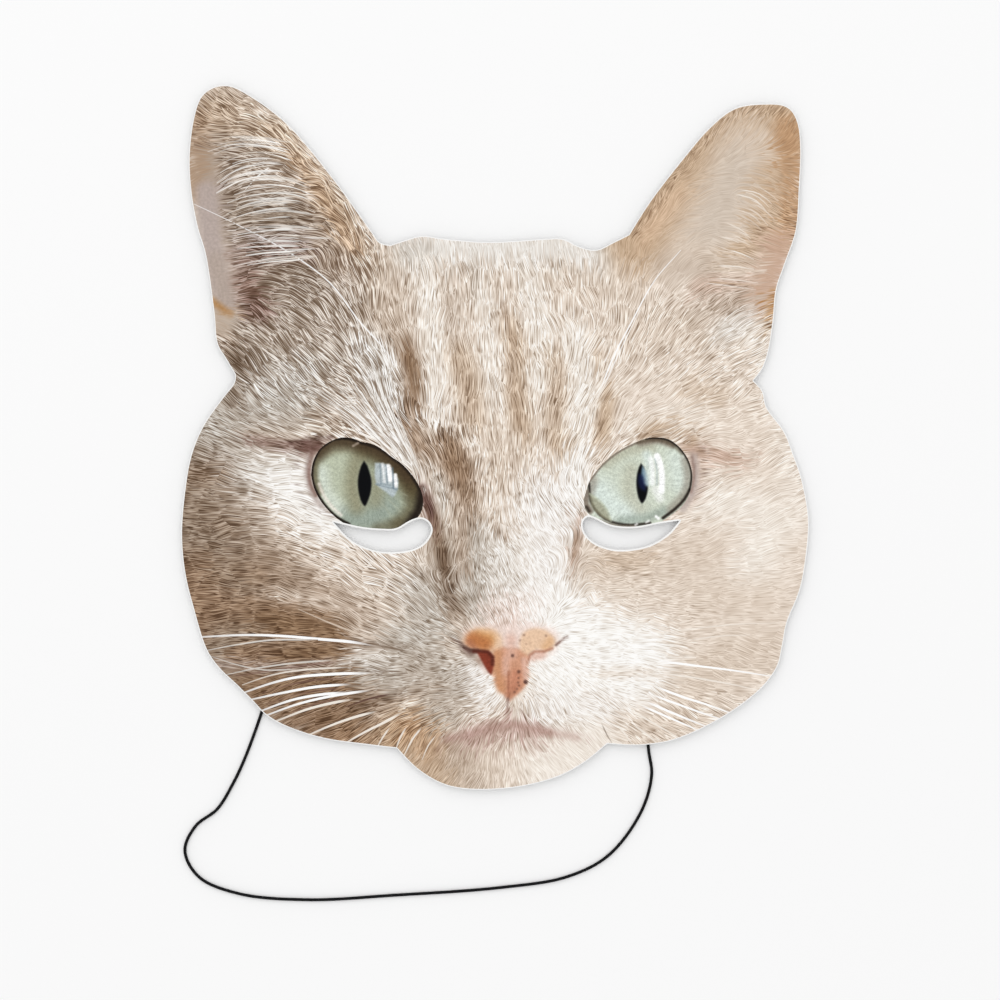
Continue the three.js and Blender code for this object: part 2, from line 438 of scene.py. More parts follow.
# The coat: broad tones first, then the tabby marks
coatStrokes = [
    # left cheek and temple, in shade
    ("taupe", 0.95, 120, 110, [(180, 440), (183, 540), (215, 640), (280, 700)]),
    ("dun", 0.9, 66, 60, [(180, 470), (185, 540), (200, 610)]),
    ("taupe", 0.7, 70, 60, [(225, 340), (290, 325), (320, 300)]),
    ("sand", 0.85, 60, 70, [(290, 385), (360, 345), (385, 285)]),
    ("stone", 0.6, 90, 80, [(250, 345), (330, 335)]),
    ("sand", 0.5, 70, 60, [(270, 330), (330, 322)]),
    ("stone", 0.95, 60, 60, [(222, 415), (290, 398)]),
    ("taupe", 0.25, 24, 22, [(240, 428), (280, 432)]),
    ("stone", 0.6, 44, 40, [(204, 432), (230, 452)]),
    ("dun", 0.95, 28, 24, [(232, 350), (242, 372), (234, 396)]),
    ("bark", 0.5, 10, 10, [(229, 345), (237, 362)]),
    ("dun", 0.2, 26, 26, [(285, 298), (322, 288)]),
    ("pearl", 0.4, 30, 28, [(258, 390), (312, 368)]),
    ("dun", 0.15, 20, 20, [(262, 330), (300, 316)]),
    ("fawn", 0.7, 16, 16, [(376, 318), (384, 342)]),
    ("pearl", 0.9, 34, 32, [(374, 350), (388, 400), (410, 456)]),
    ("sand", 0.7, 20, 22, [(318, 418), (350, 428)]),
    ("fawn", 0.6, 14, 12, [(250, 436), (285, 442), (305, 446)]),
    ("taupe", 0.8, 40, 40, [(215, 470), (225, 520), (255, 556)]),
    ("umber", 0.6, 16, 14, [(190, 477), (214, 476)]),
    ("umber", 0.6, 22, 18, [(192, 512), (232, 528)]),
    ("brown", 0.4, 14, 12, [(190, 545), (222, 552)]),
    ("pearl", 0.85, 38, 40, [(258, 474), (296, 468)]),
    ("frost", 0.98, 44, 34, [(290, 488), (312, 506), (342, 530)]),
    ("sand", 0.75, 30, 30, [(268, 548), (320, 570)]),
    ("cream", 0.85, 46, 44, [(345, 558), (385, 582), (412, 572)]),
    ("taupe", 0.7, 24, 22, [(255, 566), (300, 586)]),
    ("brown", 0.75, 16, 14, [(236, 570), (260, 577)]),
    ("umber", 0.5, 70, 60, [(186, 505), (205, 560)]),
    ("dun", 0.7, 90, 80, [(190, 520), (215, 590)]),
    ("umber", 0.5, 50, 40, [(262, 570), (322, 608)]),
    ("umber", 0.95, 60, 40, [(192, 585), (205, 630), (235, 640)]),
    ("umber", 0.95, 44, 24, [(205, 612), (260, 618), (325, 632)]),
    ("brown", 0.85, 24, 18, [(265, 620), (300, 626), (336, 634)]),
    ("cream", 0.75, 10, 10, [(278, 592), (306, 598), (334, 606)]),
    ("fawn", 0.75, 30, 34, [(352, 606), (374, 624)]),
    ("stone", 0.9, 40, 40, [(420, 590), (432, 625), (400, 640)]),
    ("dun", 0.9, 70, 40, [(232, 660), (270, 690), (330, 696)]),
    ("umber", 0.85, 50, 40, [(270, 688), (330, 690)]),
    ("brown", 0.7, 60, 50, [(250, 682), (330, 690)]),
    ("umber", 0.95, 20, 10, [(236, 654), (290, 654), (342, 652)]),
    ("brown", 0.85, 13, 9, [(278, 656), (336, 652)]),
    ("lilac", 0.5, 12, 10, [(210, 664), (270, 668), (330, 666)]),
    ("pearl", 0.7, 22, 18, [(358, 660), (384, 668)]),
    ("stone", 0.8, 26, 24, [(372, 680), (402, 684)]),
    ("bark", 0.6, 7, 6, [(352, 641), (384, 648)]),
    ("bark", 0.5, 6, 6, [(392, 646), (406, 648)]),
    ("bark", 0.5, 6, 6, [(416, 653), (428, 657)]),
    ("bark", 0.45, 6, 6, [(368, 671), (386, 673)]),
    ("brown", 0.75, 12, 10, [(318, 690), (346, 706)]),
    ("umber", 0.9, 34, 28, [(296, 716), (345, 724)]),
    ("umber", 0.95, 36, 26, [(318, 732), (372, 742), (412, 736)]),
    ("ochre", 0.35, 20, 18, [(340, 738), (400, 744)]),
    ("brown", 0.6, 14, 12, [(322, 718), (372, 732), (408, 740)]),
    ("umber", 0.55, 40, 30, [(366, 708), (396, 734)]),
    ("bark", 0.6, 9, 9, [(352, 706), (376, 701), (400, 697)]),
    # brow and forehead
    ("pearl", 0.9, 34, 30, [(395, 250), (450, 246), (540, 248), (600, 254)]),
    ("stone", 0.7, 18, 16, [(390, 254), (424, 250)]),
    ("stone", 0.6, 10, 10, [(598, 250), (616, 244)]),
    ("beige", 0.5, 30, 30, [(560, 275), (620, 290)]),
    ("beige", 0.75, 34, 30, [(380, 262), (390, 322)]),
    ("ivory", 0.85, 22, 20, [(426, 268), (432, 340), (436, 424)]),
    ("fawn", 0.8, 20, 14, [(406, 340), (413, 384), (411, 420), (424, 456)]),
    ("umber", 0.85, 15, 11, [(405, 346), (411, 366), (415, 388), (413, 408)]),
    ("brown", 0.6, 9, 8, [(407, 352), (411, 366), (413, 386)]),
    ("umber", 0.75, 14, 12, [(412, 404), (412, 428), (424, 454)]),
    ("sand", 0.7, 15, 14, [(449, 288), (452, 318), (456, 350)]),
    ("tan", 0.5, 25, 20, [(460, 356), (470, 392), (473, 418)]),
    ("umber", 0.3, 11, 11, [(464, 372), (471, 408)]),
    ("stone", 0.45, 8, 9, [(476, 268), (476, 304)]),
    ("ivory", 0.6, 18, 16, [(486, 296), (490, 350), (496, 404)]),
    ("tan", 0.6, 21, 17, [(510, 328), (519, 352), (516, 396), (524, 436)]),
    ("umber", 0.5, 6, 6, [(503, 304), (508, 326), (516, 346)]),
    ("umber", 0.35, 9, 9, [(514, 352), (515, 404), (525, 432)]),
    ("ivory", 0.9, 26, 20, [(530, 284), (542, 340), (540, 376)]),
    ("tan", 0.4, 20, 16, [(553, 354), (557, 390), (554, 430)]),
    ("umber", 0.2, 9, 9, [(556, 366), (554, 420)]),
    ("ivory", 0.9, 22, 18, [(574, 330), (582, 384), (578, 430)]),
    ("beige", 0.5, 26, 24, [(514, 446), (520, 490)]),
    ("ivory", 0.6, 24, 22, [(584, 350), (590, 400)]),
    ("tan", 0.5, 9, 9, [(598, 354), (597, 369)]),
    ("tan", 0.75, 15, 13, [(608, 398), (602, 440)]),
    ("umber", 0.3, 7, 7, [(602, 414), (598, 436)]),
    ("tan", 0.75, 15, 13, [(556, 445), (572, 447)]),
    ("umber", 0.85, 30, 20, [(447, 446), (457, 470)]),
    ("umber", 0.75, 24, 20, [(458, 466), (467, 496), (470, 518)]),
    ("brown", 0.35, 14, 12, [(452, 446), (457, 470)]),
    ("beige", 0.8, 22, 20, [(496, 436), (498, 482)]),
    ("stone", 0.6, 14, 14, [(438, 478), (441, 510)]),
    ("frost", 0.95, 27, 24, [(577, 462), (570, 520)]),
    # bridge of the nose
    ("snow", 0.95, 60, 46, [(546, 505), (542, 615)]),
    ("cream", 0.5, 44, 40, [(498, 520), (500, 560)]),
    ("pearl", 0.75, 40, 40, [(500, 550), (502, 604)]),
    ("stone", 0.95, 28, 26, [(470, 535), (474, 608)]),
    ("fawn", 0.9, 18, 16, [(462, 516), (461, 566)]),
    ("dun", 0.95, 19, 16, [(438, 534), (446, 580), (454, 616)]),
    ("bark", 0.8, 9, 8, [(442, 552), (447, 580), (452, 606)]),
    ("fawn", 0.75, 14, 14, [(458, 612), (463, 640)]),
    ("umber", 0.6, 8, 7, [(496, 530), (499, 536)]),
    ("sand", 0.55, 13, 12, [(575, 530), (576, 584)]),
    ("blush", 0.7, 36, 28, [(500, 614), (538, 614)]),
    # muzzle and chin
    ("stone", 0.95, 44, 40, [(415, 664), (450, 682), (440, 706)]),
    ("fawn", 0.35, 40, 40, [(415, 670), (445, 690)]),
    ("fawn", 0.5, 10, 10, [(412, 690), (440, 700), (466, 708)]),
    ("snow", 0.95, 24, 20, [(476, 668), (490, 698)]),
    ("frost", 0.99, 84, 46, [(566, 634), (598, 652), (634, 664)]),
    ("frost", 0.9, 36, 30, [(545, 676), (562, 690)]),
    ("cream", 0.6, 12, 12, [(600, 674), (650, 672)]),
    ("snow", 0.8, 34, 34, [(540, 712), (600, 712)]),
    ("tan", 0.98, 58, 34, [(404, 738), (442, 768)]),
    ("ochre", 0.8, 30, 22, [(408, 730), (434, 748)]),
    ("sand", 0.85, 34, 30, [(458, 752), (472, 774)]),
    ("fawn", 0.35, 44, 40, [(430, 758), (468, 772)]),
    ("beige", 0.8, 40, 36, [(488, 756), (504, 770)]),
    ("cream", 0.8, 40, 34, [(510, 762), (522, 778)]),
    ("ivory", 0.85, 54, 40, [(548, 768), (592, 748)]),
    # right side of the face, in light
    ("beige", 0.7, 44, 44, [(598, 562), (650, 566), (700, 556)]),
    ("tan", 0.35, 20, 18, [(612, 558), (640, 560)]),
    ("ivory", 0.9, 40, 40, [(704, 498), (764, 518), (755, 562)]),
    ("ivory", 0.6, 30, 30, [(790, 410), (798, 520)]),
    ("beige", 0.5, 40, 40, [(700, 600), (760, 600)]),
    ("beige", 0.7, 46, 36, [(684, 690), (716, 664), (760, 650)]),
    ("beige", 0.6, 30, 30, [(640, 730), (690, 722)]),
    ("ivory", 0.5, 30, 30, [(640, 430), (690, 416)]),
    ("beige", 0.6, 40, 40, [(640, 330), (720, 330)]),
    ("tan", 0.45, 18, 18, [(690, 388), (720, 398)]),
    ("rose", 0.6, 12, 12, [(704, 448), (748, 464)]),
    # left ear
    ("taupe", 0.98, 100, 50, [(222, 130), (245, 190), (280, 240)]),
    ("sand", 0.8, 50, 30, [(222, 100), (262, 130)]),
    ("tan", 0.5, 40, 30, [(215, 110), (250, 125)]),
    ("beige", 0.95, 40, 26, [(262, 120), (320, 180), (366, 246)]),
    ("cream", 0.75, 20, 18, [(270, 112), (328, 168), (376, 236)]),
    ("tan", 0.65, 24, 20, [(272, 130), (318, 186), (354, 246)]),
    ("ochre", 0.45, 12, 12, [(296, 160), (328, 206), (352, 248)]),
    ("fawn", 0.8, 26, 24, [(322, 246), (340, 268)]),
    ("ochre", 0.4, 24, 18, [(194, 120), (197, 192)]),
    ("umber", 0.4, 20, 18, [(194, 124), (197, 190)]),
    ("sand", 0.7, 22, 18, [(240, 168), (292, 186)]),
    ("lilac", 0.95, 24, 14, [(207, 192), (211, 240), (224, 302)]),
    ("taupe", 0.4, 20, 16, [(216, 262), (226, 298)]),
    ("dun", 0.8, 22, 18, [(238, 214), (296, 218)]),
    ("lilac", 0.7, 18, 16, [(250, 236), (300, 240)]),
    ("mauve", 0.55, 20, 16, [(238, 255), (296, 252)]),
    ("mauve", 0.68, 26, 20, [(246, 278), (256, 310)]),
    ("rust", 0.15, 20, 16, [(247, 284), (258, 312)]),
    ("plum", 0.3, 12, 10, [(254, 302), (262, 316)]),
    ("dun", 0.2, 26, 24, [(275, 282), (306, 276)]),
    ("fawn", 0.85, 18, 12, [(216, 322), (228, 342)]),
    ("amber", 0.75, 7, 7, [(212, 301), (221, 308), (230, 314)]),
    # right ear
    ("tan", 0.98, 70, 36, [(640, 240), (684, 186), (734, 126), (785, 120)]),
    ("peach", 0.35, 20, 18, [(644, 236), (680, 196)]),
    ("beige", 0.95, 60, 40, [(748, 150), (725, 200), (700, 245)]),
    ("stone", 0.3, 40, 36, [(735, 170), (715, 225)]),
    ("sand", 0.7, 28, 26, [(664, 266), (704, 272)]),
    ("ochre", 0.98, 30, 20, [(788, 130), (793, 200), (786, 238)]),
    ("tan", 0.85, 26, 22, [(768, 176), (760, 230), (738, 256)]),
    ("rose", 0.95, 30, 22, [(778, 245), (768, 285), (750, 302)]),
    ("rose", 0.85, 18, 14, [(700, 288), (742, 286)]),
    ("ochre", 0.25, 20, 16, [(776, 246), (764, 290)]),
    ("fawn", 0.4, 10, 9, [(726, 262), (746, 260)]),
    ("rose", 0.5, 14, 12, [(722, 312), (742, 306)]),
    ("amber", 0.9, 10, 7, [(774, 294), (770, 324)]),
    ("umber", 0.3, 6, 6, [(633, 234), (654, 203), (685, 163), (712, 131), (737, 112), (766, 107),
                          (785, 110)]),
    ("sand", 0.85, 34, 30, [(708, 308), (742, 300)]),
    ("pearl", 0.7, 26, 22, [(724, 332), (744, 322)]),
    ("ivory", 0.7, 24, 22, [(756, 338), (766, 352)]),
]

# Skin, nose and mouth, on top of the coat
skinStrokes = [
    ("lip", 0.9, 9, 9, [(445, 739), (470, 735), (490, 728), (508, 724), (530, 728), (550, 733)]),
    ("lip", 0.5, 8, 9, [(545, 732), (578, 737)]),
    ("lip", 0.65, 22, 18, [(472, 737), (508, 731), (532, 737)]),
    ("mauve", 0.9, 13, 10, [(304, 449), (312, 449), (320, 444)]),
    ("mauve", 0.65, 11, 10, [(250, 440), (280, 445), (302, 447)]),
    ("plum", 0.6, 8, 8, [(306, 446), (313, 448), (319, 446)]),
    ("plum", 0.9, 4, 4, [(290, 443), (308, 441), (322, 438), (332, 437)]),
    ("lilac", 0.8, 7, 7, [(310, 456), (307, 472), (310, 488), (318, 502), (332, 515)]),
    ("mauve", 0.75, 4, 4, [(312, 454), (309, 468), (310.5, 484), (316, 495)]),
    ("mauve", 0.8, 13, 10, [(423, 490), (429, 508), (434, 528)]),
    ("plum", 0.85, 7, 6, [(422, 488), (426, 502), (430, 516)]),
    ("umber", 0.4, 12, 10, [(434, 520), (440, 550)]),
    ("mauve", 0.5, 12, 9, [(683, 441), (700, 450)]),
    ("rose", 0.8, 11, 9, [(688, 446), (702, 452), (745, 463)]),
    ("rose", 0.4, 16, 16, [(698, 458), (701, 478), (693, 500)]),
    ("umber", 0.6, 5, 5, [(698, 448), (704, 453)]),
    ("lilac", 0.8, 7, 7, [(694, 456), (696, 475), (692, 494), (683, 508)]),
    ("mauve", 0.5, 3, 3, [(692, 456), (694, 474), (691, 492)]),
    ("tan", 0.8, 12, 10, [(642, 432), (666, 429), (692, 440)]),
    ("umber", 0.6, 6, 5, [(640, 436), (665, 433), (688, 443)]),
    ("rose", 0.7, 8, 8, [(581, 515), (576, 540), (574, 562)]),
    ("umber", 0.7, 4, 4, [(578, 530), (574, 556)]),
]
noseShapes = [
    ("blush", 0.75, 12, [(461, 635), (468, 625), (508, 620), (546, 623), (559, 633), (557, 649), (534, 662),
                         (486, 664), (467, 651)]),
    ("salmon", 0.95, 5, [(494, 652), (500, 646), (508, 648), (516, 648), (527, 652), (529, 658), (528, 665),
                         (529.5, 675), (527, 684), (520, 692), (513, 698), (509.5, 701), (505.5, 697),
                         (499.5, 690), (494.5, 682), (492, 671), (493.5, 660)]),
    ("peach", 0.9, 8, [(468, 641), (472, 632), (482, 628), (493, 629), (501, 635), (503, 645), (496, 652),
                       (480, 651), (470, 648)]),
    ("peach", 0.95, 6, [(519, 643), (522, 634), (530, 629), (540, 628.5), (549, 632), (554, 640), (553, 647),
                        (545, 650.5), (536, 650), (529, 655), (521, 651)]),
]
noseStrokes = [
    ("gold", 0.8, 14, 12, [(478, 637), (488, 639)]),
    ("orange", 0.9, 14, 12, [(472, 640), (484, 644)]),
    ("rust", 0.25, 12, 10, [(474, 638), (486, 645)]),
    ("rust", 0.6, 6, 6, [(469.5, 642), (475, 648.5)]),
    ("gold", 0.35, 9, 9, [(546, 647), (551, 641)]),
    ("blush", 0.85, 12, 12, [(511, 616), (511, 636)]),
    ("petal", 0.7, 11, 11, [(511, 640), (511, 654)]),
    ("apricot", 0.9, 9, 8, [(497, 654), (497, 672), (501, 688)]),
    ("petal", 0.7, 7, 7, [(506, 660), (506, 672)]),
    ("coral", 0.85, 11, 9, [(516, 675), (514, 687)]),
    ("rust", 0.35, 8, 8, [(513, 690), (509, 697)]),
    ("petal", 0.8, 6, 5, [(524, 660), (526, 678)]),
    ("dun", 0.7, 9, 9, [(471, 655), (478, 662)]),
    ("plum", 0.95, 4, 3, [(453, 638), (458, 642), (464, 647.5), (470, 650.5), (478, 651)]),
    ("plum", 0.5, 7, 6, [(462, 648), (470, 653)]),
]
nostrilShapes = [
    ("wine", 1.0, 3, [(477, 652.5), (484, 650.5), (490, 652), (494, 658), (493.5, 667), (491, 675),
                      (486, 669), (481, 660)]),
]
nostrilStrokes = [
    ("rust", 0.2, 4, 5, [(478, 660), (486, 673)]),
    ("clot", 0.9, 3.4, 3.4, [(474, 651.5), (481, 651), (488, 652), (492.5, 657), (492.5, 664)]),
    ("petal", 0.7, 8, 7, [(534, 657), (542, 655)]),
    ("rust", 0.7, 2.6, 3, [(528, 662), (530, 655), (535, 651.5), (544, 651.5), (552, 648.5)]),
    ("mauve", 0.85, 2.6, 2.4, [(556, 645), (561, 641), (566, 636.5)]),
    ("rust", 0.7, 2.2, 2, [(508.5, 672), (508.5, 690), (508.5, 700)]),
    ("mauve", 0.85, 3, 3, [(508, 699), (507.5, 706), (508, 714)]),
    ("lip", 0.8, 6, 6, [(508, 712), (508, 724)]),
]
freckleBlur = 2.2
freckles = [  # across, down, width, strength
    (512.5, 655.5, 3.4, 0.75), (518.7, 671.7, 3.4, 0.75), (525.7, 682, 4.4, 0.95), (518.6, 678, 2, 0.6),
    (518.2, 682.5, 2.2, 0.6), (519, 685.6, 2, 0.6), (514.4, 692, 2.2, 0.6), (517, 689, 2, 0.55),
    (524, 635, 2.2, 0.5), (520, 640.5, 2, 0.45), (546, 636, 2.2, 0.45), (526, 644, 1.8, 0.3),
]

# Which way the hair lies: across, down, degrees from root to tip, 0 to the right and 90 to the ears
hairWays = [
    (500, 480, 90), (460, 470, 97), (540, 470, 80), (410, 430, 120), (380, 400, 112), (380, 440, 140),
    (360, 420, 150), (600, 420, 70), (620, 400, 57), (640, 400, 40), (660, 430, 22), (620, 440, 45),
    (440, 300, 85), (400, 290, 92), (480, 300, 95), (500, 300, 97), (520, 340, 105), (560, 300, 107),
    (590, 290, 100), (620, 280, 87), (640, 300, 75), (650, 330, 65), (340, 300, 125), (300, 330, 138),
    (270, 340, 145), (260, 370, 138), (300, 290, 150), (330, 260, 115), (380, 260, 105), (380, 330, 110),
    (412, 362, 97), (422, 340, 92), (440, 400, 88), (470, 400, 80), (250, 400, 145), (300, 400, 150),
    (340, 410, 155), (280, 430, 165), (240, 450, 160), (280, 445, 165), (220, 480, 175), (280, 470, 172),
    (240, 520, 182), (320, 540, 158), (370, 560, 150), (400, 580, 148), (350, 590, 155), (300, 590, 168),
    (250, 580, 178), (220, 560, 180), (250, 620, 182), (320, 620, 170), (380, 620, 157), (430, 640, 155),
    (445, 550, 75), (450, 600, 130), (500, 560, 115), (480, 520, 78), (470, 480, 90), (520, 500, 110),
    (540, 500, 120), (550, 540, 137), (520, 540, 130), (480, 580, 115), (530, 590, 120), (560, 520, 125),
    (574, 545, 85), (576, 575, 70), (587, 562, 30), (600, 570, -20), (640, 560, 0), (660, 550, 10),
    (700, 540, 12), (720, 500, 27), (700, 560, 5), (720, 600, -3), (760, 560, 5), (770, 500, 15),
    (760, 460, 20), (730, 450, -10), (700, 420, 20), (740, 410, 30), (680, 400, 35), (660, 390, 40),
    (720, 380, 30), (780, 440, 17), (650, 600, -5), (700, 630, -3), (760, 640, -5), (620, 600, -10),
    (700, 340, 42), (660, 340, 57), (720, 310, 37), (680, 300, 47), (740, 350, 30), (640, 340, 65),
    (700, 370, 40), (620, 340, 75), (420, 660, 167), (460, 690, 192), (480, 700, 205), (440, 710, 200),
    (420, 720, 205), (400, 680, 182), (490, 720, 220), (370, 690, 185), (560, 680, -37), (540, 690, -50),
    (600, 690, -22), (620, 660, -5), (580, 640, -3), (600, 710, -35), (560, 710, -50), (640, 690, -20),
    (640, 650, -5), (610, 720, -40), (508, 750, 270), (480, 750, 250), (460, 750, 235), (440, 745, 225),
    (420, 740, 245), (540, 750, 295), (560, 745, 310), (580, 745, 325), (500, 775, 265), (460, 770, 245),
    (550, 770, 300), (240, 660, 180), (300, 650, 178), (320, 690, 190), (280, 700, 195), (340, 720, 202),
    (370, 735, 205), (390, 735, 215), (700, 680, -12), (680, 710, -25), (650, 720, -30), (740, 690, -15),
    (630, 735, -35), (220, 100, 142), (260, 130, 145), (300, 150, 125), (330, 200, 125), (350, 240, 122),
    (370, 260, 112), (280, 200, 180), (230, 185, 202), (300, 180, 167), (310, 220, 167), (260, 230, 182),
    (280, 260, 178), (240, 270, 190), (300, 270, 165), (230, 130, 170), (270, 160, 160), (320, 240, 150),
    (195, 170, 195), (205, 110, 152), (200, 135, 168), (720, 190, 12), (750, 190, -17), (770, 200, -27),
    (740, 230, -8), (700, 200, 22), (680, 230, 25), (720, 250, -5), (750, 260, -10), (740, 290, 0),
    (690, 290, 40), (660, 200, 65), (700, 150, 62), (740, 115, 60), (780, 110, 55),
]

hair = {
    "strength": 0.61,        # how strongly single hairs show
    "length": 0.72,          # as a share of the longest
    "reach": (12.0, 4.0),    # steps along and across a hair over which it keeps its tone
    "blend": 150.0,          # square steps over which neighbouring ways run together
    "onDark": 1.5,           # times stronger on the darkest coat
    "lessOnLight": 0.6,      # how much of that is lost on the lightest
    "onSkin": 0.15,          # share of the strength left on bare skin
}

# How strongly single hairs show, place by place
strengthStrokes = [
    (0.26, 26, 20, [(395, 246), (480, 243), (590, 248)]),
    (1.9, 66, 50, [(265, 300), (322, 302)]),
    (1.85, 90, 60, [(250, 350), (322, 350), (364, 404)]),
    (0.45, 20, 14, [(406, 346), (413, 390)]),
    (0.75, 50, 40, [(200, 430), (260, 425)]),
    (1.1, 70, 60, [(190, 460), (200, 560), (250, 620), (330, 690)]),
    (0.9, 60, 50, [(260, 500), (330, 550), (390, 580)]),
    (0.5, 36, 30, [(300, 488), (336, 524)]),
    (1.05, 40, 34, [(320, 720), (410, 720)]),
    (1.0, 60, 50, [(225, 105), (300, 150), (350, 230)]),
    (2.0, 80, 50, [(255, 175), (295, 250), (330, 270)]),
    (0.06, 40, 20, [(200, 165), (206, 240), (220, 316)]),
    (0.24, 120, 50, [(650, 230), (720, 140), (770, 150)]),
    (0.13, 76, 40, [(740, 145), (722, 210), (690, 250)]),
    (0.3, 34, 28, [(716, 262), (750, 262)]),
    (0.1, 26, 18, [(779, 240), (771, 270), (757, 304)]),
    (0.5, 10, 10, [(634, 234), (685, 164), (738, 113), (785, 111)]),
    (0.55, 40, 36, [(700, 310), (735, 325)]),
    (0.45, 110, 60, [(640, 580), (620, 600)]),
    (0.24, 120, 80, [(720, 560), (760, 520), (750, 610)]),
    (0.34, 60, 50, [(640, 400), (760, 440)]),
    (0.3, 60, 50, [(690, 660), (740, 670)]),
    (0.36, 100, 50, [(570, 650), (650, 670)]),
    (0.4, 60, 40, [(440, 765), (500, 765)]),
    (0.35, 30, 24, [(590, 562), (592, 602)]),
    (0.2, 60, 40, [(550, 765), (595, 745)]),
    (0.36, 50, 40, [(540, 540), (540, 610)]),
    (1.0, 50, 30, [(450, 440), (465, 490)]),
]

# How long the hair is, place by place
lengthStrokes = [
    (1.0, 120, 70, [(250, 330), (330, 360), (370, 390)]),
    (1.0, 100, 70, [(260, 480), (330, 530), (390, 580)]),
    (1.1, 90, 60, [(260, 200), (300, 240)]),
    (0.55, 130, 70, [(505, 480), (505, 520)]),
    (0.34, 90, 60, [(505, 570), (510, 640)]),
    (0.42, 80, 60, [(430, 650), (465, 700)]),
    (0.42, 80, 60, [(555, 660), (600, 680)]),
    (0.5, 50, 40, [(440, 760), (500, 768), (585, 752)]),
    (0.5, 90, 70, [(620, 580), (700, 580)]),
    (0.6, 90, 70, [(700, 330), (720, 360)]),
    (0.45, 40, 30, [(632, 236), (690, 160), (760, 112), (792, 130), (795, 210)]),
]

# How furred the skin is: 0 where it is bare and no hair crosses from spot to spot
bareStrokes = [
    (0.0, 36, 12, [(480, 643), (545, 643)]),
    (0.0, 33, 9, [(510, 655), (511, 684)]),
    (0.0, 16, 8, [(482, 654), (489, 668)]),
    (0.0, 12, 8, [(313, 452), (311, 478), (320, 503)]),
    (0.4, 10, 8, [(307, 446), (318, 447)]),
    (0.1, 30, 14, [(203, 196), (207, 240), (219, 300)]),
    (0.5, 11, 10, [(450, 738), (490, 729), (508, 725), (535, 730), (575, 738)]),
    (0.0, 10, 8, [(693, 452), (696, 478), (684, 508)]),
]

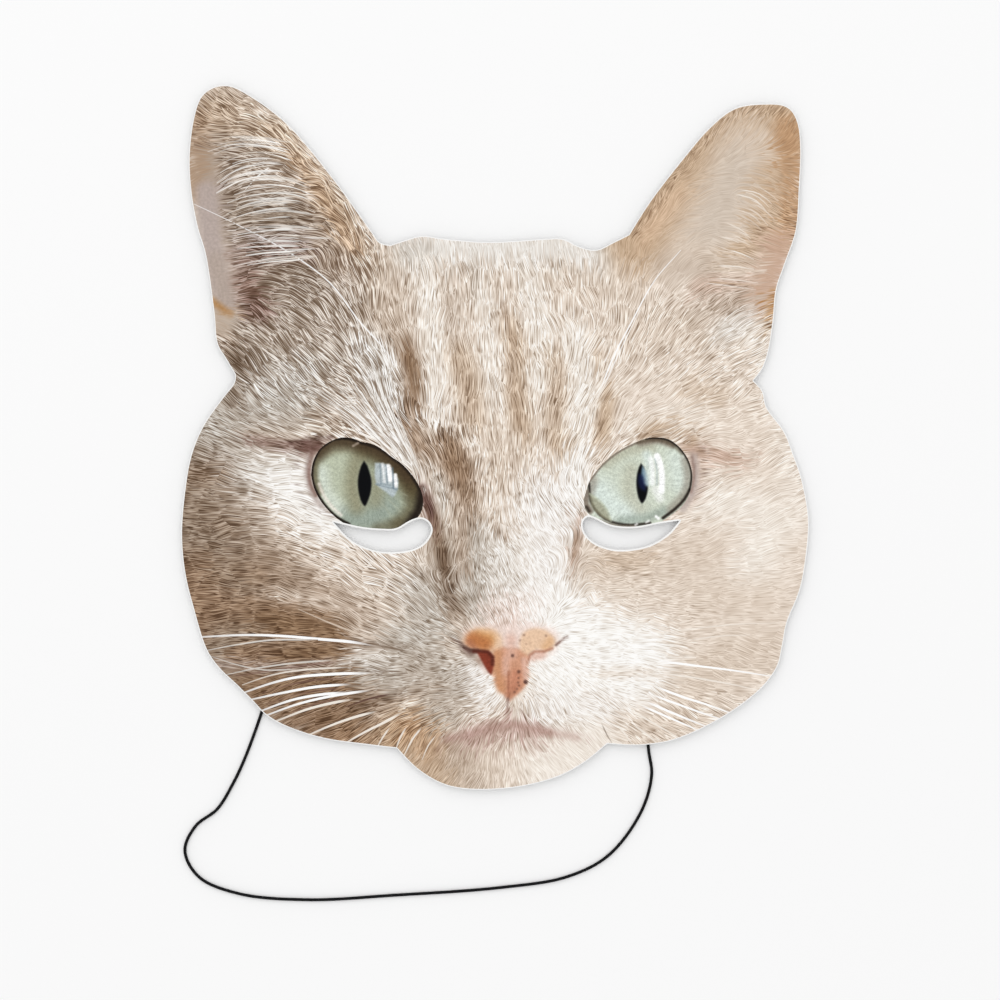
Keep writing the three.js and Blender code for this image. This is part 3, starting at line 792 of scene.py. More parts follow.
# The eyes: outline, middle of the iris, and paint from the iris up to the reflections
pupilBlur = 2.4
eyes = {
    "left": {
        "outline": [(311, 475), (313, 462), (320, 449), (331, 441), (342, 437.5), (353, 438.5), (362, 442),
                    (371, 443.5), (380, 448), (392, 457), (402, 464), (412, 475), (419, 486), (423, 498),
                    (422, 510), (418, 517), (410, 524), (402, 532), (390, 536), (375, 536), (355, 530),
                    (345, 524), (337, 518.5), (328, 510), (320, 500), (314, 488)],
        "middle": (365, 484),
        "iris": "fern",
        "washes": [
            ("sage", 0.95, 34, 30, [(334, 462), (334, 495)]),
            ("mint", 0.9, 13, 14, [(322, 472), (325, 490), (340, 510)]),
            ("teal", 0.85, 26, 24, [(352, 519), (376, 517), (388, 506)]),
            ("moss", 0.85, 15, 16, [(356, 462), (352, 485), (357, 506)]),
            ("moss", 0.6, 14, 14, [(376, 500), (378, 480)]),
            ("olive", 0.75, 20, 20, [(404, 470), (414, 490)]),
            ("moss", 0.7, 8, 9, [(328, 452), (345, 449), (362, 456)]),
            ("olive", 0.85, 16, 14, [(362, 448), (380, 458), (398, 470), (410, 486)]),
            ("lid", 0.9, 14, 12, [(318, 454), (330, 443), (350, 442), (372, 447), (395, 462), (415, 484)]),
            ("olive", 0.65, 14, 14, [(415, 490), (411, 510), (399, 525)]),
            ("rim", 0.95, 10, 9, [(422, 494), (419, 510), (407, 527)]),
            ("olive", 0.5, 12, 10, [(378, 529), (398, 524)]),
            ("olive", 0.7, 6, 6, [(316, 462), (315, 478), (320, 492)]),
            ("ivory", 0.75, 3, 3, [(319, 484), (324, 496), (333, 508), (341, 515)]),
        ],
        "rims": [
            ("rim", 0.98, 2.8, 2, [(331, 441), (320, 449), (314, 461), (312, 475), (314.5, 487), (320.5, 499),
                                   (328.5, 509.5), (338, 518), (349, 524)]),
            ("rim", 0.95, 3.4, 2.4, [(331, 440), (342, 438), (353, 439.5), (362, 442.5)]),
            ("rim", 0.85, 3.4, 3, [(362, 442.5), (380, 449), (392, 457.5), (402, 465), (412, 476),
                                   (420, 490)]),
            ("sand", 0.7, 2, 2, [(353, 446), (358, 443)]),
        ],
        "pupil": [(364, 461), (367, 465), (369.5, 472), (371.5, 481), (371, 490), (369, 498), (365, 506),
                  (362, 503), (359.5, 496), (358, 487), (358, 479), (359.5, 471), (361.5, 465)],
        "pupilGlow": [],
        "shines": [
            ("glass", 0.9, 3, [(375, 463), (382, 463), (390, 467), (394, 475), (398, 479), (397.5, 489),
                               (393, 497), (386, 492), (378, 486), (375, 478)]),
        ],
        "glints": [
            ("pane", 0.7, 2, 2, [(376, 484), (384, 484), (397, 489)]),
            ("white", 0.95, 6, 3, [(388, 467), (390.5, 479)]),
            ("white", 0.7, 2, 2, [(382.5, 464), (384.5, 482)]),
            ("white", 0.95, 3.4, 2, [(395.4, 475), (396, 486)]),
            ("slate", 0.75, 1.6, 1.4, [(392.6, 468), (393.4, 488)]),
            ("slate", 0.65, 1.3, 1.2, [(386, 465), (387.4, 483)]),
            ("slate", 0.5, 1.2, 1.2, [(380, 464), (381, 484)]),
            ("slate", 0.45, 1.2, 1.2, [(377, 485), (386, 487), (397, 490)]),
            ("sage", 0.4, 2, 2, [(389, 500), (400, 511)]),
            ("sage", 0.3, 2, 2, [(395, 497), (406, 505)]),
            ("sage", 0.35, 2, 2, [(383, 504), (391, 516)]),
            ("sage", 0.25, 2, 2, [(398, 491), (407, 496)]),
        ],
    },
    "right": {
        "outline": [(583.5, 500), (586.5, 490), (590, 480), (596, 471.5), (603, 463.5), (612, 455.5),
                    (622, 449), (632, 444), (640, 440.5), (648, 438), (658, 437.5), (668, 439), (676, 444),
                    (682, 450), (688, 459), (691.5, 469), (692.5, 478), (691, 489), (687.5, 498), (682, 506),
                    (674, 513), (664, 520), (655, 526), (645, 531), (632, 533), (618, 532), (606, 527),
                    (597, 520), (590, 515), (585.5, 510)],
        "middle": (642, 484),
        "iris": "jade",
        "washes": [
            ("aqua", 0.9, 26, 24, [(600, 492), (612, 506), (630, 514)]),
            ("aqua", 0.6, 20, 18, [(676, 460), (680, 482)]),
            ("willow", 0.8, 12, 11, [(606, 462), (628, 450), (650, 446)]),
            ("willow", 0.6, 14, 14, [(631, 470), (629, 492), (640, 508)]),
            ("teal", 0.7, 9, 9, [(620, 521), (645, 518), (664, 511)]),
            ("smoke", 0.85, 6, 6, [(640, 443), (658, 440.5), (672, 445)]),
            ("smoke", 0.5, 8, 8, [(685, 460), (688, 476), (684, 494), (671, 509)]),
            ("smoke", 0.5, 8, 8, [(594, 480), (590, 494)]),
        ],
        "rims": [
            ("smoke", 0.9, 2.2, 2, [(589, 482), (603, 464.5), (622, 450), (640, 441.5)]),
            ("lid", 0.5, 4, 3.4, [(638, 442), (648, 440), (660, 440), (672, 444), (682, 453)]),
            ("rim", 0.9, 2.2, 2, [(646, 438.5), (658, 438), (669, 440.5), (679, 447.5), (687, 458.5),
                                  (691, 470), (691.5, 479), (689.5, 490)]),
            ("rim", 0.9, 3, 2.4, [(689.5, 490), (684.5, 499), (675, 509), (663, 518)]),
            ("rim", 0.85, 2.6, 2.4, [(589, 484), (591, 502), (600, 515), (612, 522), (630, 525), (650, 523)]),
            ("smoke", 0.8, 5, 3, [(600, 522), (615, 527), (635, 528)]),
            ("smoke", 0.9, 6, 4, [(586, 492), (586, 504), (590, 511)]),
            ("rim", 0.7, 3, 3, [(586.5, 507), (589, 511)]),
        ],
        "pupil": [(641, 463.5), (644, 467), (646.5, 474), (648, 483), (647.5, 492), (645.5, 499),
                  (642, 503.5), (639, 499), (637, 491), (636.3, 482), (637.3, 473), (639, 467)],
        "pupilGlow": [
            ("blue", 0.9, 3, [(642.5, 466), (646, 471), (648.5, 480), (648, 486), (645, 485), (641.5, 480),
                              (641.5, 471)]),
            ("navy", 0.85, 5, [(639, 474), (643, 476), (646, 486), (645, 491), (640, 488), (638, 480)]),
        ],
        "shines": [
            ("moss", 0.7, 3, [(589, 493), (598, 500), (606, 509), (610, 521), (600, 516), (592, 507)]),
        ],
        "glints": [
            ("aqua", 0.8, 9, 7, [(647, 455), (649, 468), (650, 482)]),
            ("white", 0.7, 5, 4, [(651, 459), (652.5, 468), (652.5, 483)]),
            ("white", 0.97, 6, 3, [(657, 456), (660.5, 465), (662, 478), (661.5, 491)]),
            ("glass", 0.6, 1.6, 1.6, [(655, 459), (657, 470), (656.8, 485)]),
            ("white", 0.6, 8, 7, [(656, 490), (660, 498)]),
            ("sage", 0.7, 2, 2, [(590, 494), (600, 501), (607, 510), (611, 521)]),
            ("white", 0.8, 2, 2, [(635.5, 525), (637, 524)]),
            ("white", 0.7, 1.8, 2, [(646, 522.5), (649, 521)]),
            ("white", 0.9, 2.6, 2, [(656, 516.5), (658.5, 518.5)]),
        ],
    },
}

# Whiskers and other long single hairs: tone, strength, width and line, from root to tip
longHairs = [
    ("white", 0.95, 2.9, [(376, 646), (352, 642), (318, 639), (282, 636), (245, 635), (200, 637)]),
    ("pearl", 0.75, 1.8, [(318, 640), (272, 640), (235, 645), (204, 651)]),
    ("pearl", 0.7, 1.8, [(336, 660), (295, 663), (258, 668), (225, 675)]),
    ("mauve", 0.6, 2.2, [(344, 661), (300, 666), (268, 671), (236, 676)]),
    ("pearl", 0.6, 1.5, [(300, 669), (265, 670), (238, 665), (210, 656)]),
    ("ivory", 0.8, 1.8, [(352, 667), (302, 670), (272, 675), (242, 685)]),
    ("white", 0.95, 2.9, [(374, 673), (335, 674), (298, 677), (272, 683), (243, 693)]),
    ("mauve", 0.5, 2.2, [(352, 678), (315, 680), (285, 686), (262, 693)]),
    ("white", 0.95, 2.8, [(352, 684), (315, 687), (282, 693), (249, 700)]),
    ("mauve", 0.5, 2.2, [(346, 688), (315, 691), (288, 697), (266, 704)]),
    ("white", 0.95, 2.8, [(348, 692), (318, 695), (292, 700), (258, 712)]),
    ("white", 0.95, 2.7, [(372, 690), (332, 696), (298, 704), (262, 717)]),
    ("mauve", 0.5, 2.2, [(348, 698), (318, 703), (292, 712)]),
    ("ivory", 0.95, 2.7, [(354, 699), (332, 703), (305, 710), (272, 723)]),
    ("ivory", 0.95, 2.6, [(378, 711), (355, 717), (332, 725), (304, 737)]),
    ("ivory", 0.95, 2.6, [(403, 712), (385, 722), (365, 732), (342, 745)]),
    ("ivory", 0.8, 1.9, [(390, 727), (383, 737), (376, 749)]),
    ("ivory", 0.8, 1.9, [(407, 726), (400, 738), (395, 752)]),
    ("ivory", 0.85, 2.0, [(422, 727), (412, 740), (404, 756)]),
    ("ivory", 0.7, 1.6, [(436, 735), (428, 746), (422, 760)]),
    ("beige", 0.8, 1.7, [(382, 642), (335, 625), (298, 609)]),
    ("bark", 0.6, 1.6, [(410, 652), (392, 648), (366, 643)]),
    ("plum", 0.9, 1.9, [(392, 694), (372, 698), (345, 707)]),
    ("bark", 0.6, 1.6, [(404, 672), (386, 671), (370, 672)]),
    ("white", 0.95, 2.2, [(655, 660), (690, 665), (730, 670), (776, 677)]),
    ("ivory", 0.85, 1.8, [(660, 673), (690, 677), (730, 684), (762, 691)]),
    ("white", 0.95, 2.5, [(652, 685), (680, 696), (705, 704), (736, 715)]),
    ("white", 0.95, 2.2, [(650, 694), (680, 705), (705, 714), (724, 720)]),
    ("white", 0.95, 2.5, [(645, 701), (675, 714), (710, 728)]),
    ("white", 0.95, 2.2, [(640, 705), (670, 718), (702, 732)]),
    ("ivory", 0.85, 1.8, [(630, 710), (655, 724), (684, 741)]),
    ("ivory", 0.8, 1.8, [(632, 724), (645, 733), (660, 746)]),
    ("ivory", 0.8, 1.9, [(617, 724), (625, 734), (634, 747)]),
    ("bark", 0.6, 1.5, [(601, 722), (607, 735), (612, 743)]),
    ("ivory", 0.6, 1.5, [(668, 632), (700, 628), (740, 624), (780, 623)]),
    ("ivory", 0.6, 1.5, [(690, 640), (720, 636), (750, 635)]),
    ("white", 0.75, 1.4, [(400, 375), (385, 350), (360, 322), (330, 283), (290, 253), (240, 226),
                          (194, 204)]),
    ("white", 0.85, 1.6, [(597, 400), (612, 360), (630, 325), (655, 280), (681, 250)]),
    ("white", 0.6, 1.3, [(600, 395), (618, 355), (640, 310)]),
    ("frost", 0.8, 1.4, [(271, 166), (258, 176), (245, 190)]),
]

# Fans of hair: how many, tones, and guide lines from root to tip that the hairs lie between
hairFans = {
    "leftEar": (90, ("frost", "pearl", "ivory", "frost", "dun"), [
        [(290, 140), (262, 136), (232, 134), (204, 138)],
        [(300, 165), (268, 158), (236, 162), (206, 180)],
        [(315, 190), (285, 182), (246, 187), (209, 206)],
        [(325, 215), (290, 208), (252, 212), (220, 222)],
        [(330, 240), (300, 239), (262, 239), (226, 241)],
        [(325, 258), (295, 262), (265, 266), (228, 274)],
    ]),
    "rightEar": (34, ("ivory", "cream", "beige", "tan"), [
        [(735, 180), (760, 186), (782, 202)],
        [(735, 200), (757, 206), (776, 228)],
        [(728, 220), (745, 228), (758, 242)],
        [(715, 240), (735, 245), (757, 258)],
        [(710, 262), (735, 262), (770, 268)],
        [(700, 285), (730, 288), (765, 292)],
    ]),
    "leftBrow": (70, ("frost", "frost", "pearl", "dun", "taupe"), [
        [(422, 478), (405, 440), (388, 395), (374, 345)],
        [(412, 466), (390, 430), (370, 390), (352, 352)],
        [(400, 458), (372, 425), (345, 398), (322, 378)],
        [(380, 447), (352, 422), (322, 402), (295, 388)],
    ]),
}
fanLook = {
    "stray": 2.0,              # steps off the guides
    "swing": 0.05,             # radians
    "roots": (0.0, 0.35),      # where along the guides a hair starts
    "tips": (0.65, 1.0),       # and ends
    "fewest": 4,               # points of a hair
    "strength": (0.45, 0.95),
    "width": (0.9, 1.7),
}


def fanHairs(rng):
    rows = []
    for count, fanTones, guides in hairFans.values():
        lines = np.array(guides, float)
        for index in range(count):
            place = (index + rng.random()) / count * (len(lines) - 1.001)  # before the last guide
            low = int(place)
            line = lines[low] + (lines[low + 1] - lines[low]) * (place - low)
            fine = smoothLine(line + rng.normal(0, fanLook["stray"], 2), linePitch["shape"])
            start = int(rng.uniform(*fanLook["roots"]) * len(fine))
            end = int(rng.uniform(*fanLook["tips"]) * len(fine))
            part = fine[start:max(end, start + fanLook["fewest"])]
            swing = rng.normal(0, fanLook["swing"])
            turn = [[math.cos(swing), math.sin(swing)], [-math.sin(swing), math.cos(swing)]]
            turned = part[0] + (part - part[0]) @ np.array(turn)
            name = fanTones[int(rng.integers(len(fanTones)))]
            strength = rng.uniform(*fanLook["strength"])
            rows.append((name, strength, rng.uniform(*fanLook["width"]), turned[::2]))
    return rows


# The card: one closed body, printed in front, with a thin bare edge, rolled corners and a plain back

card = {
    "pitch": 0.0006,        # along the outline
    "corner": 28.0,         # degrees of turn that count as a corner
    "roll": 0.00012,        # how far the cut's edge is rounded
    "rollMiddle": (0.7, 0.3),  # halfway round it, outwards and down
    "bareEdge": 0.00018,    # unprinted border of the outline
    "bareSlot": 0.00045,    # and of the eye slots
    "coarse": 0.00094,      # between points of the print
    "fine": 0.00028,        # in the eyes
    "noseFine": 0.00036,
    "backCoarse": 0.009,
    "jitter": 0.2,          # of the pitch
    "seed": 11,
}
fineZones = [  # middle, half width and half height, in steps, and which pitch
    ((366, 484), (60, 52), "fine"),
    ((638, 484), (60, 52), "fine"),
    ((508, 665), (62, 46), "noseFine"),
]


def closedLoops(edges):
    after = dict(edges)
    loops = []
    while after:
        start, here = next(iter(after.items()))
        del after[start]
        loop = [start]
        while here != start:
            loop.append(here)
            here = after.pop(here)
        loops.append(loop)
    return loops


def borderEdges(faces):
    edges = {(a, b) for face in faces for a, b in zip(face, face[1:] + face[:1])}
    return [(a, b) for a, b in edges if (b, a) not in edges]


def loopArea(loop):
    x, y = np.asarray(loop).T
    return 0.5 * float(x @ np.roll(y, -1) - y @ np.roll(x, -1))


# The printed face of the solid, as smooth loops: the outline first, then the slots
def cardLoops():
    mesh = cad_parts["mask_card"].data
    welded, faces = {}, []
    for face in mesh.polygons:
        if face.normal.z > 0.9:  # facing up
            corners = [mesh.vertices[i].co for i in face.vertices]
            keys = [(round(c.x, 6), round(c.y, 6)) for c in corners]
            faces.append([welded.setdefault(key, len(welded)) for key in keys])
    places = np.array(list(welded))
    loops = [places[loop] for loop in closedLoops(sorted(borderEdges(faces)))]
    loops.sort(key=lambda loop: -abs(loopArea(loop)))
    return [smoothLoop(loop) for loop in loops]


def smoothLoop(loop):
    incoming = loop - np.roll(loop, 1, axis=0)
    outgoing = np.roll(loop, -1, axis=0) - loop
    turn = np.arctan2(np.cross(incoming, outgoing), (incoming * outgoing).sum(1))
    corners = np.flatnonzero(np.abs(np.degrees(turn)) > card["corner"])
    if len(corners) == 0:
        wrapped = np.vstack([loop[-3:], loop, loop[:3]])
        line = smoothLine(wrapped, card["pitch"])
        first = np.flatnonzero((np.abs(line - loop[0]) < 1e-9).all(1))
        return line[first[0]:first[1]]
    loop = np.roll(loop, -corners[0], axis=0)
    corners = list(corners - corners[0]) + [len(loop)]
    loop = np.vstack([loop, loop[:1]])
    return np.vstack([smoothLine(loop[a:b + 1], card["pitch"])[:-1] for a, b in zip(corners, corners[1:])])


# Each point moved to the left of its loop's way, which is into the card
def moveIn(loop, distance):
    before = loop - np.roll(loop, 1, axis=0)
    after = np.roll(loop, -1, axis=0) - loop
    along = before / np.linalg.norm(before, axis=1)[:, None] + after / np.linalg.norm(after, axis=1)[:, None]
    along /= np.linalg.norm(along, axis=1)[:, None]
    return loop + distance * np.stack([-along[:, 1], along[:, 0]], 1)


def scatter(low, high, pitch, rng):
    rows = np.arange(low[1], high[1], pitch * math.sqrt(3) / 2)
    columns = np.arange(low[0], high[0], pitch)
    x, y = np.meshgrid(columns, rows)
    x = x + pitch / 2 * (np.arange(len(rows)) % 2)[:, None]
    spots = np.stack([x.ravel(), y.ravel()], 1)
    return spots + rng.uniform(-card["jitter"], card["jitter"], spots.shape) * pitch


def printPoints(rng):
    spots = scatter(cardLow[:2], cardHigh[:2], card["coarse"], rng)
    sets = []
    for middle, half, pitch in fineZones:
        centre = toMetres(middle)
        size = np.array(half) * layout["step"]
        outside = (((spots - centre) / size) ** 2).sum(1) > 1
        spots = spots[outside]
        fine = scatter(centre - size, centre + size, card[pitch], rng)
        sets.append(fine[(((fine - centre) / size) ** 2).sum(1) < 1])
    return np.vstack([spots] + sets)


longHair = {
    "root": 0.45,      # width at the root, as a share of the full width
    "swell": 3.0,      # how fast it grows from there
    "taper": 0.45,     # share of the width lost at the tip
    "rise": 0.15,      # share of the length over which the tone comes in
    "fadeFrom": 0.6,   # and after which it fades
    "tipTone": 0.6,    # tone left at the tip
}


# A thin shape round a hair's line, widest after the root and thinner at the tip
def hairRing(line, width):
    line = smoothLine(line, linePitch["hair"])
    share = np.linspace(0, 1, len(line))
    swelling = np.minimum(longHair["root"] + longHair["swell"] * share, 1.0)
    half = width / 2 * swelling * (1 - longHair["taper"] * share ** 2)
    along = np.gradient(line, axis=0)
    along /= np.linalg.norm(along, axis=1)[:, None]
    side = np.stack([-along[:, 1], along[:, 0]], 1) * half[:, None]
    return np.vstack([line + side, (line - side)[::-1]])


def triangulate(shapes, spots):
    places, rings = [], []
    for shape in shapes:
        start = len(places)
        ring = shape if loopArea(shape) > 0 else shape[::-1]
        places.extend(ring.tolist())
        rings.append(list(range(start, start + len(ring))))
    places.extend(np.asarray(spots).tolist())
    verts = [Vector(place) for place in places]
    out = delaunay_2d_cdt(verts, [], rings, 0, 1e-8)
    found = np.array([tuple(v) for v in out[0]])
    return found, [list(face) for face in out[2]], [set(ids) for ids in out[5]]


def hairFlow(spots):
    rows = np.array(hairWays, float)
    ways = np.stack([np.cos(np.radians(rows[:, 2])), np.sin(np.radians(rows[:, 2]))], 1)
    flow = np.zeros((len(spots), 2))
    batch = 20000
    for start in range(0, len(spots), batch):
        part = spots[start:start + batch]
        apart = ((part[:, None] - rows[None, :, :2]) ** 2).sum(2)
        flow[start:start + batch] = (1 / (apart + hair["blend"]) ** 2) @ ways
    return flow / np.maximum(np.linalg.norm(flow, axis=1), 1e-9)[:, None]


def paintFur(spots):
    paint = np.tile(tone("cream"), (len(spots), 1))
    layStrokes(paint, spots, coatStrokes)
    layStrokes(paint, spots, skinStrokes)
    return paint


def paintCoat(spots):
    paint = paintFur(spots)
    layShapes(paint, spots, noseShapes)
    layStrokes(paint, spots, noseStrokes)
    layShapes(paint, spots, nostrilShapes)
    layStrokes(paint, spots, nostrilStrokes)
    dots = [("freckle", strength, width, freckleBlur, [(x, y)]) for x, y, width, strength in freckles]
    layStrokes(paint, spots, dots)
    return paint


def paintEye(spots, eye):
    paint = np.tile(tone(eye["iris"]), (len(spots), 1))
    layStrokes(paint, spots, eye["washes"])
    layStrokes(paint, spots, eye["rims"])
    layShapes(paint, spots, [("black", 1.0, pupilBlur, eye["pupil"])])
    layShapes(paint, spots, eye["pupilGlow"])
    layShapes(paint, spots, eye["shines"])
    layStrokes(paint, spots, eye["glints"])
    return paint


def setAttribute(mesh, name, kind, domain, values):
    field = {"FLOAT_COLOR": "color", "FLOAT_VECTOR": "vector"}[kind]
    layer = mesh.attributes.new(name, kind, domain)
    layer.data.foreach_set(field, np.ascontiguousarray(values, np.float32).ravel())


def withAlpha(colour):
    return np.hstack([toLinear(colour), np.ones((len(colour), 1))])


# Coat and hair, point by point
def paintHair(mesh, spots):
    flow = hairFlow(spots)
    strength = layValues(spots, hair["strength"], strengthStrokes)
    length = layValues(spots, hair["length"], lengthStrokes)
    furred = layValues(spots, 1.0, bareStrokes)
    along = flow * (1, -1)
    aside = along[:, ::-1] * (1, -1)
    reach = (along * hair["reach"][0] + aside * hair["reach"][1]) * furred[:, None]
    coat = paintCoat(spots)
    setAttribute(mesh, "coat", "FLOAT_COLOR", "POINT", withAlpha(coat))
    for name, way in (("coatAhead", reach), ("coatBehind", -reach)):
        moved = coat + (paintFur(spots + way) - coat) * furred[:, None]
        setAttribute(mesh, name, "FLOAT_COLOR", "POINT", withAlpha(moved))
    strength *= hair["onDark"] - hair["lessOnLight"] * toLinear(coat[:, 1])
    strength *= hair["onSkin"] + (1 - hair["onSkin"]) * furred
    setAttribute(mesh, "hairFlow", "FLOAT_VECTOR", "POINT", np.hstack([flow, np.zeros((len(flow), 1))]))
    setAttribute(mesh, "hairStyle", "FLOAT_VECTOR", "POINT", np.stack([strength, length, furred], 1))


# Eyes, and for the iris's fibres the turn and distance from its middle
def paintEyes(mesh, spots, eyeOf):
    tint = np.zeros((len(spots), 3))
    ray = np.zeros((len(spots), 3))
    for index, eye in enumerate(eyes.values()):
        mine = np.flatnonzero(eyeOf == index)
        tint[mine] = paintEye(spots[mine], eye)
        away = spots[mine] - eye["middle"]
        ray[mine, 0] = np.arctan2(away[:, 1], away[:, 0])
        ray[mine, 1] = np.linalg.norm(away, axis=1)
    setAttribute(mesh, "eyeTint", "FLOAT_COLOR", "POINT", withAlpha(tint))
    setAttribute(mesh, "eyeRay", "FLOAT_VECTOR", "POINT", ray)


def atHeight(flat, height):
    return np.hstack([flat, np.full((len(flat), 1), height)])


# The print with its borders, eyes and hairs, cut as one flat net. Each face comes with the numbers of the
# shapes that it lies in: the card and its slots, the printed part and the slots' rims, the eyes, the hairs
def cutPrint(loops, hairs, rng):
    edges = [moveIn(loop, card["roll"]) for loop in loops]
    bare = [card["bareEdge"]] + [card["bareSlot"]] * (len(loops) - 1)
    printed = [moveIn(loop, card["roll"] + width) for loop, width in zip(loops, bare)]
    outlines = [eye["outline"] + eye["outline"][:1] for eye in eyes.values()]
    rings = [smoothLine(outline, linePitch["eye"])[:-1] for outline in outlines]
    rings += [hairRing(line, width) for name, strength, width, line in hairs]
    shapes = edges + printed + [toMetres(ring) for ring in rings]
    flat, faces, owners = triangulate(shapes, printPoints(rng))
    slots = set(range(1, len(loops)))
    kept = [i for i, own in enumerate(owners) if 0 in own and not own & slots]
    used = sorted({v for i in kept for v in faces[i]})
    place = {v: i for i, v in enumerate(used)}
    return flat[used], [[place[v] for v in faces[i]] for i in kept], [owners[i] for i in kept]


# The rolled edge, the cut side and the back's edge, ring by ring outwards from the print
def addSides(verts, faces, flat):
    top, bottom, roll = cardHigh.z, cardLow.z, card["roll"]
    out, down = card["rollMiddle"]
    total = len(flat)
    backRings = []
    for loop in closedLoops(sorted(borderEdges(faces))):
        outer = moveIn(flat[loop], -roll)
        rings = [loop]
        for ring, height in ((moveIn(flat[loop], -roll * out), top - roll * down), (outer, top - roll),
                             (outer, bottom + roll), (flat[loop], bottom)):
            verts.append(atHeight(ring, height))
            rings.append(list(range(total, total + len(ring))))
            total += len(ring)
        for a, b in zip(rings, rings[1:]):
            for i in range(len(loop)):
                j = (i + 1) % len(loop)
                faces.append([a[j], a[i], b[i], b[j]])
        backRings.append((rings[-1], flat[loop]))
    return sorted(backRings, key=lambda pair: -abs(loopArea(pair[1])))


# The plain back, joined to the rings of its edge
def addBack(verts, faces, backRings, rng):
    spots = scatter(cardLow[:2], cardHigh[:2], card["backCoarse"], rng)
    found, backFaces, owners = triangulate([ring for ids, ring in backRings], spots)
    known = {tuple(np.round(p, 8)): i for ids, ring in backRings for i, p in zip(ids, ring)}
    slots = set(range(1, len(backRings)))
    total = sum(len(part) for part in verts)
    index, extra = {}, []
    for face, own in zip(backFaces, owners):
        if 0 not in own or own & slots:
            continue
        for v in face:
            key = tuple(np.round(found[v], 8))
            if v not in index and key in known:
                index[v] = known[key]
            elif v not in index:
                index[v] = total + len(extra)
                extra.append((*found[v], cardLow.z))
        faces.append([index[v] for v in reversed(face)])
    verts.append(np.array(extra).reshape(-1, 3))


# Long hairs, corner by corner: the tone, and how strongly it covers the coat
def paintLongHairs(mesh, spots, faces, hairOf, hairs):
    strands = np.zeros((sum(len(face) for face in faces), 4))
    corner = 0
    for face, number in zip(faces, hairOf):
        if number >= 0:
            name, strength, width, line = hairs[number]
            root, tip = np.array(line[0], float), np.array(line[-1], float)
            share = (spots[face] - root) @ (tip - root) / ((tip - root) @ (tip - root))
            rise = np.clip(share / longHair["rise"], 0, 1)
            rise *= np.clip(1 + longHair["fadeFrom"] - share, longHair["tipTone"], 1)
            strands[corner:corner + len(face), :3] = toLinear(tone(name))
            strands[corner:corner + len(face), 3] = strength * rise
        corner += len(face)
    setAttribute(mesh, "longHair", "FLOAT_COLOR", "CORNER", strands)


def makeCard():
    rng = np.random.default_rng(card["seed"])
    loops = cardLoops()
    hairs = longHairs + fanHairs(rng)
    flat, faces, owners = cutPrint(loops, hairs, rng)
    verts = [atHeight(flat, cardHigh.z)]
    backRings = addSides(verts, faces, flat)
    addBack(verts, faces, backRings, rng)
    verts = np.vstack(verts)
    # fur, eye or bare board, by the shapes that a face of the print lies in
    count = len(loops)
    firstEye, firstHair = 2 * count, 2 * count + len(eyes)
    slotRims, eyeShapes = set(range(count + 1, 2 * count)), set(range(firstEye, firstHair))
    slot = []
    for own in owners:
        inPrint = count in own and not own & slotRims
        slot.append((1 if own & eyeShapes else 0) if inPrint else 2)
    slot += [2] * (len(faces) - len(owners))
    mesh = bpy.data.meshes.new("printedCard")
    mesh.from_pydata(verts.tolist(), [], faces)
    mesh.polygons.foreach_set("material_index", slot)
    spots = toSteps(verts[:, :2])
    eyeOf = np.full(len(verts), -1)
    for face, own in zip(faces, owners):
        for shape in own & eyeShapes:
            eyeOf[face] = shape - firstEye
    hairOf = [max(max(own) - firstHair, -1) for own in owners]
    paintHair(mesh, spots)
    paintEyes(mesh, spots, eyeOf)
    paintLongHairs(mesh, spots, faces, hairOf, hairs)
    layMap(mesh, verts, faces, len(owners))
    mesh.validate()
    piece = bpy.data.objects.new("printedCard", mesh)
    scene.collection.objects.link(piece)
    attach(piece, "root")
    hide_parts("mask_card")
    triangles = sum(len(face) - 2 for face in faces)
    print("card:", len(verts), "points,", triangles, "triangles,", len(hairs), "long hairs")
    return piece


# One map for the whole card: the print fills the square, and the sides and back share the strip beside it
cardMap = {"print": 0.985, "margin": 0.006, "stripStart": 0.9, "stripWidth": 0.09}


def layMap(mesh, verts, faces, printCount):
    places = (verts[:, :2] - cardLow[:2]) / (cardHigh.y - cardLow.y)
    front = places * cardMap["print"] + cardMap["margin"]
    strip = np.stack([cardMap["stripStart"] + cardMap["stripWidth"] * places[:, 0], front[:, 1]], 1)
    corners = np.concatenate([np.asarray(face) for face in faces])
    inFront = np.concatenate([np.full(len(face), i < printCount) for i, face in enumerate(faces)])
    places = np.where(inFront[:, None], front[corners], strip[corners])
    layer = mesh.uv_layers.new(name="OFBake")
    layer.uv.foreach_set("vector", places.astype(np.float32).ravel())


